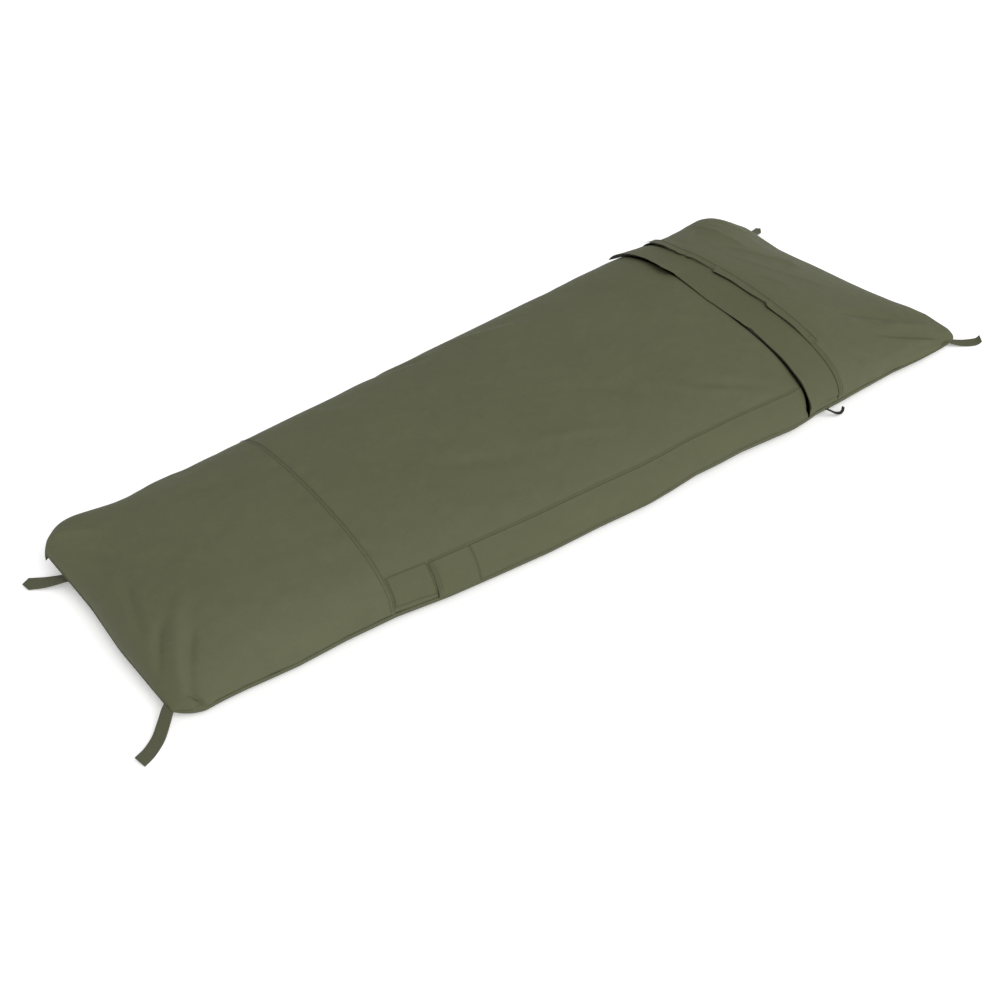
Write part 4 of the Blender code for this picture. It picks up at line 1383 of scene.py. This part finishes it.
@dataclass
class Hood:
    """The hood's cloth and its placket, which laps over the storm flap's back edge."""

    sewing: Sewing
    rise: float = 0.0058
    placket_width: float = 0.023
    placket_ends: Spot = (-0.285, 0.374)
    gap_stops: Stops = ((-0.29, 0.0004), (-0.262, 0.0006), (-0.22, 0.0020), (-0.15, 0.0030), (-0.118, 0.0040),
                        (-0.100, 0.0008), (-0.05, 0.0030), (0.03, 0.0024), (0.076, 0.0050), (0.092, 0.0006),
                        (0.13, 0.0008), (0.165, 0.0006), (0.180, 0.0042), (0.195, 0.0006), (0.215, 0.0040),
                        (0.25, 0.0030), (0.30, 0.0046), (0.39, 0.0030))
    edge_stops: Stops = ((-0.29, 0.0), (-0.24, -0.001), (-0.17, -0.003), (-0.125, -0.006), (-0.108, 0.003),
                         (-0.06, -0.003), (0.02, -0.003), (0.078, -0.009), (0.090, 0.003), (0.13, 0.001),
                         (0.168, 0.002), (0.182, -0.006), (0.194, 0.003), (0.214, -0.006), (0.235, -0.002),
                         (0.30, -0.005), (0.39, -0.001))

    def build(self) -> None:
        """Makes the hood cloth, the placket and their stitches."""
        self.cloth()
        self.placket()
        self.tape()

    def swell(self, x: Array, y: Array) -> Array:
        """How far the hood's foot edge stands over the storm flap's back edge."""
        return self.rise * (1.0 - ease(0.002, 0.048, x - self.sewing.form.placket_edge(y)))

    def cloth(self) -> None:
        """The hood's cloth, closed at the head end."""
        sewing, form = self.sewing, self.sewing.form
        share, angle = grid_of(np.linspace(0.0, 1.0, 92), np.linspace(0.0, math.pi, 196))
        y = form.section(np.full_like(angle, 0.72), angle)[..., 1]
        start = form.placket_edge(y) - 0.0035
        x = form.head_x - (form.head_x - start) * (1.0 - share) ** 1.5
        lift = self.swell(x, y) * ease(0.02, 0.14, angle) * (1.0 - ease(math.pi - 0.14, math.pi - 0.02, angle))
        cloth = sewing.cloth("hood_cloth", (x, angle), lift)
        sewing.join(cloth, Body.BAG, "shell_fabric", ["hood_panel"])
        low = np.linspace(0.07, form.angle_at(0.71, -0.275), 150)
        at = form.section(np.full_like(low, 0.70), low)[:, 1]
        lines = [sewing.shell.line(form.placket_edge(at) + offset, low, self.rise + 0.0003)
                 for offset in (0.0035, 0.0105)]
        sewing.join(sewing.stitches("hood_side_seam_stitches", lines), Body.BAG, "shell_fabric")

    def placket(self) -> None:
        """The placket strip: its back edge is sewn to the hood and its front edge is free."""
        sewing, form = self.sewing, self.sewing.form
        ends = [form.angle_at(0.70, y) for y in self.placket_ends]
        rows = np.concatenate((np.linspace(0.0, 0.14, 4), np.linspace(0.22, 1.0, 9)))
        share, angle = grid_of(rows, np.linspace(*ends, 210))
        y = form.section(np.full_like(angle, 0.70), angle)[..., 1]
        front = form.placket_edge(y) - 0.003 + between(self.edge_stops, y)
        back = form.placket_edge(y) + self.placket_width
        x = front + (back - front) * share
        gap = between(self.gap_stops, y) * (1.0 - share) ** 1.7
        kink = 0.0026 * hump(y, 0.088, 0.010) * np.sin(share * math.pi) + 0.0012 * np.sin(y * 52.0) * (1 - share)
        lift = np.maximum(self.lift_under(x, y), 0.0052) + 0.0016 + gap + kink
        cloth = sewing.cloth("hood_placket_cloth", (x, angle), lift, "flap", 0.0009, folds=0.6)
        start, end = Vector((0.744, 0.0, 0.178)), Vector((0.728, 0.0, 0.178))
        sewing.bend(cloth, Body.BAG, Body.PLACKET, start, end, "flap_fabric", ["hood_placket"])
        span = np.linspace(ends[0] + 0.02, ends[1] - 0.01, 420)
        at = form.section(np.full_like(span, 0.70), span)[:, 1]
        back_lines = [self.sewn(form.placket_edge(at) + self.placket_width - 0.003, span)]
        box = np.linspace(0.004, self.placket_width - 0.003, 20)
        for end_y in (self.placket_ends[0] + 0.004, self.placket_ends[0] + 0.022):
            turn = np.full_like(box, form.angle_at(0.71, end_y))
            back_lines.append(self.sewn(form.placket_edge(np.full_like(box, end_y)) + box, turn))
        sewing.join(sewing.stitches("hood_placket_stitches", back_lines), Body.BAG, "flap_fabric")

    def lift_under(self, x: Array, y: Array) -> Array:
        """The hood's own lift under the placket."""
        return self.swell(x, y) + 0.0004

    def sewn(self, x: Array, angle: Array) -> tuple[Array, Array]:
        """A stitch line on top of the placket."""
        return self.sewing.shell.line(x, angle, self.rise + 0.0020)

    def tape(self) -> None:
        """The waterproofing tape inside the hood's seam."""
        sewing, form = self.sewing, self.sewing.form
        share, angle = grid_of(np.linspace(0.0, 1.0, 5), np.linspace(0.12, math.pi - 0.12, 110))
        y = form.section(np.full_like(angle, 0.72), angle)[..., 1]
        tape = sewing.cloth("hood_seam_tape_cloth", (form.placket_edge(y) - 0.010 + 0.022 * share, angle),
                            -0.0026, "seam_tape", 0.0004)
        sewing.join(tape, Body.BAG, "seam_tape", ["hood_seam_tape"])


@dataclass
class Floor:
    """The floor cloth, turned up all round, and the bound seam that joins it to the top."""

    sewing: Sewing
    bead: float = 0.0008

    def build(self) -> None:
        """Makes the floor and the perimeter seam."""
        sewing, form = self.sewing, self.sewing.form
        t = np.linspace(-1.0, 1.0, 220)
        middle, half = 0.5 * (form.foot_x + form.head_x), 0.5 * (form.head_x - form.foot_x)
        xs = middle + half * (0.5 * t + 0.5 * np.sign(t) * (1.0 - (1.0 - np.abs(t)) ** 2.4))
        angles = 0.5 * math.pi * (1.0 + np.sign(np.linspace(-1, 1, 91)) * (
            1.0 - (1.0 - np.abs(np.linspace(-1, 1, 91))) ** 1.5))
        x, angle = grid_of(xs, angles)
        points = form.underside(x, angle) + form.sway(x, angle)
        points[..., 2] = np.maximum(points[..., 2], 0.0) + 0.0009
        facing = np.cross(np.gradient(points, axis=1), np.gradient(points, axis=0))
        inward = unit(facing)
        inward[np.linalg.norm(facing, axis=-1) < 1e-10] = (0.0, 0.0, -1.0)
        outer = points[:, ::-1]
        floor = make_cloth("floor_cloth", outer, inward[:, ::-1], 0.0009,
                           [sewing.wardrobe.get("floor"), sewing.wardrobe.get("inside")])
        sewing.join(floor, Body.BAG, "floor_fabric", ["floor_panel"])
        self.binding()

    def outline(self, spacing: float) -> Array:
        """The perimeter seam as a closed line, evenly spaced."""
        form = self.sewing.form
        xs = np.linspace(form.foot_x, form.head_x, 500)
        ends = np.linspace(0.0, math.pi, 160)
        low = form.section(xs, np.zeros_like(xs)) + form.sway(xs, np.zeros_like(xs))
        high = form.section(xs, np.full_like(xs, math.pi)) + form.sway(xs, np.full_like(xs, math.pi))
        head_x, foot_x = np.full_like(ends, form.head_x), np.full_like(ends, form.foot_x)
        head = form.section(head_x, ends) + form.sway(head_x, ends)
        foot = form.section(foot_x, ends) + form.sway(foot_x, ends)
        loop = np.concatenate((low, head[1:-1], high[::-1], foot[::-1][1:-1], low[:1]))
        loop[:, 2] -= 0.5 * form.perimeter_gap
        step = np.concatenate(([0.0], np.cumsum(np.linalg.norm(np.diff(loop, axis=0), axis=1))))
        at = np.arange(0.0, step[-1], spacing)
        return np.stack([np.interp(at, step, loop[:, k]) for k in range(3)], -1)

    def binding(self) -> None:
        """The seam's folded allowance as a flat bead that stands out all round."""
        sewing = self.sewing
        line = self.outline(0.006)
        smooth = line.copy()
        for _ in range(6):
            smooth = 0.25 * np.roll(smooth, 1, 0) + 0.5 * smooth + 0.25 * np.roll(smooth, -1, 0)
        ahead = unit(np.roll(smooth, -1, 0) - np.roll(smooth, 1, 0))
        side = unit(np.cross(ahead, np.array((0.0, 0.0, 1.0))))
        up = unit(np.cross(side, ahead))
        count = len(smooth)
        pinch = 1.0 + 0.18 * np.sin(np.arange(count) * 2.4) * np.sin(np.arange(count) * 0.37)
        centres = smooth + side * 0.0002
        closed = [np.concatenate((part, part[:1])) for part in (centres, side, up)]
        wide = np.append(1.5 * self.bead * pinch, 1.5 * self.bead * pinch[0])
        high = np.full(count + 1, 2.0 * self.bead)
        points, quads, place = ring_tube(*closed, wide, high, 10)
        bead = make_object("perimeter_seam", points, quads, place, [sewing.wardrobe.get("shell")])
        sewing.join(bead, Body.BAG, "shell_fabric")
        lines = [(closed[0] + closed[2] * (2.0 * self.bead), closed[2])]
        sewing.join(sewing.stitches("perimeter_seam_stitches", lines), Body.BAG, "shell_fabric")


@dataclass
class ZipRun:
    """One side of a zip: a woven tape and its row of teeth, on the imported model's own lines."""

    sewing: Sewing
    name: str
    pitch: float = 0.0027
    tooth: tuple[float, float, float] = (0.0015, 0.0034, 0.0021)

    def tape(self, x: Array, angle: Array, depth: float) -> bpy.types.Object:
        """The tape on a grid of places."""
        form = self.sewing.form
        points = form.facet_point(x, angle, depth)
        outward = unit(np.cross(np.gradient(points, axis=0), np.gradient(points, axis=1)))
        return make_cloth(f"{self.name}_strip", points, outward, 0.0007, [self.sewing.wardrobe.get("zip_tape")])

    def teeth(self, line: Array, across: Array, outward: Array) -> bpy.types.Object:
        """The teeth along a line, each a small moulded block with a sloping crown.

        Args:
            line: points along the row's middle.
            across: directions from the tape to the zip's middle.
            outward: outward directions.

        Returns:
            The row of teeth.
        """
        points, ahead, up = resample(line, outward, self.pitch)
        _, _, side = resample(line, across, self.pitch)
        side = unit(side - up * np.sum(side * up, -1, keepdims=True))
        half = np.array(self.tooth) / 2.0
        corners = np.array([(a, b, c) for c in (-1, 0.35, 1) for a, b in ((-1, -1), (1, -1), (1, 1), (-1, 1))], float)
        corners[8:, :2] *= 0.62
        block = (points[:, None] + ahead[:, None] * (corners[:, 0] * half[0])[None, :, None]
                 + side[:, None] * (corners[:, 1] * half[1])[None, :, None]
                 + up[:, None] * (corners[:, 2] * half[2])[None, :, None])
        faces = [(3, 2, 1, 0), (8, 9, 10, 11)]
        faces += [(k, (k + 1) % 4, (k + 1) % 4 + 4, k + 4) for k in range(4)]
        faces += [(k + 4, (k + 1) % 4 + 4, (k + 1) % 4 + 8, k + 8) for k in range(4)]
        quads = np.array(faces)[None] + 12 * np.arange(len(points))[:, None, None]
        place = np.broadcast_to(corners[:, :2] * half[:2], (len(points), 12, 2))
        quads = quads.reshape(-1, 4)
        return make_object(f"{self.name}_row", block.reshape(-1, 3), quads, place.reshape(-1, 2),
                           [self.sewing.wardrobe.get("teeth")], np.ones(len(quads), bool))


@dataclass
class Zips:
    """The zip down the side and the zip across the chest, with stop, slider and pull."""

    sewing: Sewing
    depth: float = -0.009
    side_ends: Spot = (-0.488, 0.5625)

    def build(self) -> None:
        """Makes both zips and dresses the slider."""
        self.side()
        self.chest()
        for name in ("side_zip_bottom_stop", "side_zip_slider", "side_zip_pull"):
            dress(name, self.sewing.wardrobe.get("metal"))
        self.slider_detail()

    def side(self) -> None:
        """The side zip's two tapes and rows of teeth."""
        form = self.sewing.form
        line = form.zip_angle
        half = 0.019
        xs = np.linspace(*self.side_ends, 150)
        for where, body, angles, middle, toward in (
                ("upper", None, (line + 2.4 * half, form.side_seam_angle - 0.02), line + half, -1.0),
                ("lower", Body.BAG, (0.10, line - 2.4 * half), line - half, 1.0)):
            run = ZipRun(self.sewing, f"side_zip_{where}")
            tape = run.tape(*grid_of(xs, np.linspace(*angles, 8)), self.depth)
            turns = np.full_like(xs, middle)
            points = form.facet_point(xs, turns, self.depth + 0.0004)
            out = unit(form.facet_point(xs, turns, self.depth + 0.01) - points)
            across = unit(form.facet_point(xs, turns + 0.01, self.depth) - form.facet_point(xs, turns, self.depth))
            teeth = run.teeth(points, across * toward, out)
            for piece, slot, node in ((tape, "zip_tape", "tape"), (teeth, "zip_teeth", "teeth")):
                replaced = [f"side_zip_{where}_{node}"]
                if body is None:
                    self.sewing.fold(piece, slot, replaced)
                else:
                    self.sewing.join(piece, body, slot, replaced)

    def chest(self) -> None:
        """The chest zip's two tapes and rows of teeth."""
        form = self.sewing.form
        turns = np.linspace(form.side_seam_angle + 0.03, form.angle_at(0.60, 0.115), 120)
        y = form.section(np.full_like(turns, 0.60), turns)[:, 1]
        edge = form.storm_edge(y) - 0.010
        for where, body, offsets, middle, tape_depth in (
                ("foot", Body.CORNER, (-0.026, -0.002), 0.00275, -0.0032),
                ("head", Body.BAG, (0.009, 0.034), 0.00575, -0.0016)):
            run = ZipRun(self.sewing, f"chest_zip_{where}")
            share, angle = grid_of(np.linspace(*offsets, 6), turns)
            tape = run.tape(edge[None] + share, angle, tape_depth)
            points = form.facet_point(edge + middle, turns, -0.0012)
            out = unit(form.facet_point(edge + middle, turns, 0.01) - points)
            across = np.zeros_like(points)
            across[:, 0] = 1.0
            teeth = run.teeth(points, across, out)
            for piece, slot, node in ((tape, "zip_tape", "tape"), (teeth, "zip_teeth", "teeth")):
                self.sewing.join(piece, body, slot, [f"chest_zip_{where}_{node}"])

    def slider_detail(self) -> None:
        """The slider's bridge, a small arch over the plate that the pull hangs from."""
        low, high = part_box("side_zip_slider")
        middle = np.array((low + high) / 2)
        out = unit(np.array((-0.02854, -0.90523, 0.423963)))
        ahead = unit(np.array((0.997818, -0.066020, -0.000539)))
        turns = np.linspace(0.0, math.pi, 12)
        centres = (middle - ahead * 0.0005 + ahead * 0.0042 * -np.cos(turns)[:, None]
                   + out * (0.0006 + 0.0030 * np.sin(turns))[:, None])
        side = np.cross(out, ahead)
        tangents = unit(np.gradient(centres, axis=0))
        ups = unit(np.cross(side, tangents))
        points, quads, place = ring_tube(centres, np.broadcast_to(side, centres.shape), ups,
                                         np.full(12, 0.0011), np.full(12, 0.0005), 8)
        bridge = make_object("side_zip_slider_bridge", points, quads, place, [self.sewing.wardrobe.get("metal")])
        self.sewing.join(bridge, "side_zip_slider", "zip_slider")


class Tip(Enum):
    """How a pegging loop's far end is folded."""

    POINTED = "pointed"
    SQUARE = "square"
    CURLED = "curled"


@dataclass(frozen=True)
class LoopShape:
    """Where one pegging loop lies: its line over the ground as (x, y, z) points, and its tape."""

    name: str
    path: tuple[tuple[float, float, float], ...]
    width: float
    tip: Tip
    twist: float = 0.0
    finish: str = "webbing"
    slot: str = "webbing"


LOOPS = (
    LoopShape("foot_left_loop", ((-1.100, 0.186, 0.034), (-1.118, 0.199, 0.030), (-1.139, 0.214, 0.022),
                                 (-1.163, 0.232, 0.015), (-1.186, 0.249, 0.012), (-1.202, 0.260, 0.011)),
              0.027, Tip.POINTED, -0.55),
    LoopShape("foot_right_loop", ((-1.100, -0.262, 0.034), (-1.116, -0.272, 0.029), (-1.136, -0.288, 0.016),
                                  (-1.160, -0.309, 0.007), (-1.188, -0.328, 0.006), (-1.216, -0.342, 0.010)),
              0.027, Tip.SQUARE, -0.45),
    LoopShape("head_right_loop", ((1.140, -0.366, 0.022), (1.158, -0.381, 0.016), (1.178, -0.396, 0.010),
                                  (1.200, -0.412, 0.008), (1.221, -0.426, 0.011), (1.234, -0.434, 0.017)),
              0.020, Tip.CURLED, 0.85),
    LoopShape("head_left_loop", ((1.118, 0.322, 0.022), (1.132, 0.332, 0.016), (1.148, 0.338, 0.010),
                                 (1.164, 0.342, 0.008), (1.180, 0.345, 0.010)),
              0.022, Tip.POINTED, 0.35),
    LoopShape("side_loop", ((0.660, -0.396, 0.030), (0.672, -0.405, 0.022), (0.684, -0.412, 0.014),
                            (0.697, -0.416, 0.010), (0.708, -0.414, 0.011), (0.716, -0.408, 0.014)),
              0.008, Tip.CURLED, 0.5, "tape", "black_tape"),
)


@dataclass
class PeggingLoop:
    """A loop of tape sewn into the perimeter seam: two layers, folded over at the far end."""

    sewing: Sewing
    shape: LoopShape
    thickness: float = 0.0012
    apart: float = 0.0016
    steps: int = 40

    def centre_line(self) -> Array:
        """The loop's line, smooth and evenly spaced."""
        knots = np.array(self.shape.path)[:, None]
        at = np.linspace(0.0, len(knots) - 1.0, 200)
        smooth = read_grid(knots, at, np.zeros_like(at))
        step = np.concatenate(([0.0], np.cumsum(np.linalg.norm(np.diff(smooth, axis=0), axis=1))))
        even = np.linspace(0.0, step[-1], self.steps)
        return np.stack([np.interp(even, step, smooth[:, k]) for k in range(3)], -1)

    def build(self) -> None:
        """Makes the loop's two layers with their fold."""
        line = self.centre_line()
        ahead = unit(np.gradient(line, axis=0))
        side = unit(np.cross(np.array((0.0, 0.0, 1.0)), ahead))
        up = np.cross(ahead, side)
        share = np.linspace(0.0, 1.0, self.steps)
        turn = (self.shape.twist * ease(0.15, 1.0, share))[:, None]
        side, up = side * np.cos(turn) + up * np.sin(turn), up * np.cos(turn) - side * np.sin(turn)
        columns = np.linspace(-0.5, 0.5, 9)
        gape = self.apart * (0.35 + 0.65 * np.sin(math.pi * np.clip(share, 0, 1)) ** 0.7)
        length = float(np.linalg.norm(np.diff(line, axis=0), axis=1).sum())
        rows, outs = [], []
        for sign in (1, -1):
            base, across, above = line[::sign], side[::sign], sign * up[::sign]
            offset = (up * (sign * 0.5 * gape)[:, None])[::sign]
            rows.append(base[:, None] + offset[:, None] + across[:, None] * (columns * self.shape.width)[:, None])
            outs.append(np.repeat(above[:, None], len(columns), 1))
        points, outward = np.concatenate(rows), np.concatenate(outs)
        reach = np.concatenate((share, share[::-1])) * length
        points = self.fold_tip(points, ahead, side, reach, length, columns)
        points[..., 2] = np.maximum(points[..., 2], 0.0016)
        cloth = make_cloth(f"{self.shape.name}_tape", points, outward, self.thickness,
                           [self.sewing.wardrobe.get(self.shape.finish)])
        bend_end = line[0] + (line[-1] - line[0]) * 0.28
        bend_start = line[0] + (line[-1] - line[0]) * 0.10
        self.sewing.bend(cloth, Body.BAG, self.shape.name, Vector(bend_start), Vector(bend_end), self.shape.slot,
                         [self.shape.name])

    def fold_tip(self, points: Array, ahead: Array, side: Array, reach: Array, length: float,
                 columns: Array) -> Array:
        """Shapes the far end: a mitred point, a square fold or a curl.

        Args:
            points: the two layers, rows by columns.
            ahead: the loop's directions.
            side: the loop's sideways directions; not used.
            reach: each row's distance from the root.
            length: the loop's length.
            columns: places across the tape, from -0.5 to 0.5.

        Returns:
            The shaped points.
        """
        tip = length - reach
        if self.shape.tip is Tip.POINTED:
            back = 1.05 * np.abs(columns)[None] * self.shape.width
            depth = np.clip(1.0 - tip / 0.022, 0.0, 1.0)[:, None]
            points = points - ahead[-1] * (back * depth)[..., None]
        if self.shape.tip is Tip.CURLED:
            curl = np.clip(1.0 - tip / 0.016, 0.0, 1.0)
            rise = np.array((0.0, 0.0, 1.0))
            shift = rise * (0.006 * curl ** 1.5)[:, None] - ahead[-1] * (0.004 * curl ** 2)[:, None]
            points = points + shift[:, None]
        return points


def dress(name: str, material: bpy.types.Material) -> None:
    """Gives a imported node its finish."""
    node = frame["nodes"][name]
    node.data.materials.clear()
    node.data.materials.append(material)


# ---------------------------------------------------------------- studio

@dataclass(frozen=True)
class Studio:
    """A pale floor, soft light from all round and the camera."""

    floor_colour: Colour = (0.97, 0.97, 0.97)
    floor_glow: float = 0.22
    sky: float = 0.58
    lens: float = 50.4
    place: tuple[float, float, float] = (-1.6864, -2.1188, 2.2122)
    tilt: float = 48.246
    turn: float = -37.318

    def build(self) -> None:
        """Sets the floor, the lights and the camera."""
        self.ground()
        self.sky_light()
        self.lamp("key_light", (0.3, -3.0, 3.4), 50.0, 1.95)
        camera = bpy.data.cameras.new("camera")
        camera.lens, camera.sensor_width, camera.clip_end = self.lens, 36.0, 60.0
        made = bpy.data.objects.new("camera", camera)
        made.location = self.place
        made.rotation_euler = (math.radians(self.tilt), 0.0, math.radians(self.turn))
        bpy.context.scene.collection.objects.link(made)
        bpy.context.scene.camera = made
        bpy.context.scene.view_settings.view_transform = "Standard"

    def ground(self) -> None:
        """The plain pale floor."""
        palette = Palette("studio_floor")
        palette.finish(self.floor_colour, 0.9, None, specular=0.0)
        palette.shader.inputs["Emission Color"].default_value = (1.0, 1.0, 1.0, 1.0)
        palette.shader.inputs["Emission Strength"].default_value = self.floor_glow
        reach = 30.0
        points = np.array([(-reach, -reach, 0.0), (reach, -reach, 0.0), (reach, reach, 0.0), (-reach, reach, 0.0)])
        floor = make_object("studio_floor", points, np.array([(0, 1, 2, 3)]), points[:, :2], [palette.material])

    def sky_light(self) -> None:
        """Even light from all round."""
        world = bpy.data.worlds.new("soft_box")
        world.use_nodes = True
        back = world.node_tree.nodes["Background"]
        back.inputs["Color"].default_value = (1.0, 1.0, 1.0, 1.0)
        back.inputs["Strength"].default_value = self.sky
        bpy.context.scene.world = world

    @staticmethod
    def lamp(name: str, place: tuple[float, float, float], spread_degrees: float, strength: float) -> None:
        """A broad, even light from one side, aimed at the sack's middle."""
        light = bpy.data.lights.new(name, "SUN")
        light.angle, light.energy = math.radians(spread_degrees), strength
        made = bpy.data.objects.new(name, light)
        made.location = place
        made.rotation_euler = (Vector((0.0, 0.0, 0.1)) - Vector(place)).to_track_quat("-Z", "Y").to_euler()
        bpy.context.scene.collection.objects.link(made)


def clear_strays() -> None:
    """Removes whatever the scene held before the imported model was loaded."""
    own = {o.name for o in frame["nodes"].values()} | {o.name for o in frame["bodies"].values()}
    for stray in [o for o in bpy.data.objects if o.name not in own]:
        bpy.data.objects.remove(stray, do_unlink=True)


def main() -> None:
    """Builds the sack in its order of making and reports each piece."""
    logging.basicConfig(level=logging.INFO, format="%(message)s", stream=sys.stdout)
    clear_strays()
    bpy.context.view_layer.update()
    Studio().build()
    shell = Shell(BagForm(swells=CORNERS))
    shell.settle()
    sewing = Sewing(shell, Wardrobe())
    for section in (Floor(sewing), FootSection(sewing), BodySection(sewing), Hood(sewing), StormFlap(sewing),
                    SideFlap(sewing), Zips(sewing)):
        section.build()
        REPORT.info("%s is made", type(section).__name__)
    for shape in LOOPS:
        PeggingLoop(sewing, shape).build()


if __name__ == "__main__":
    main()
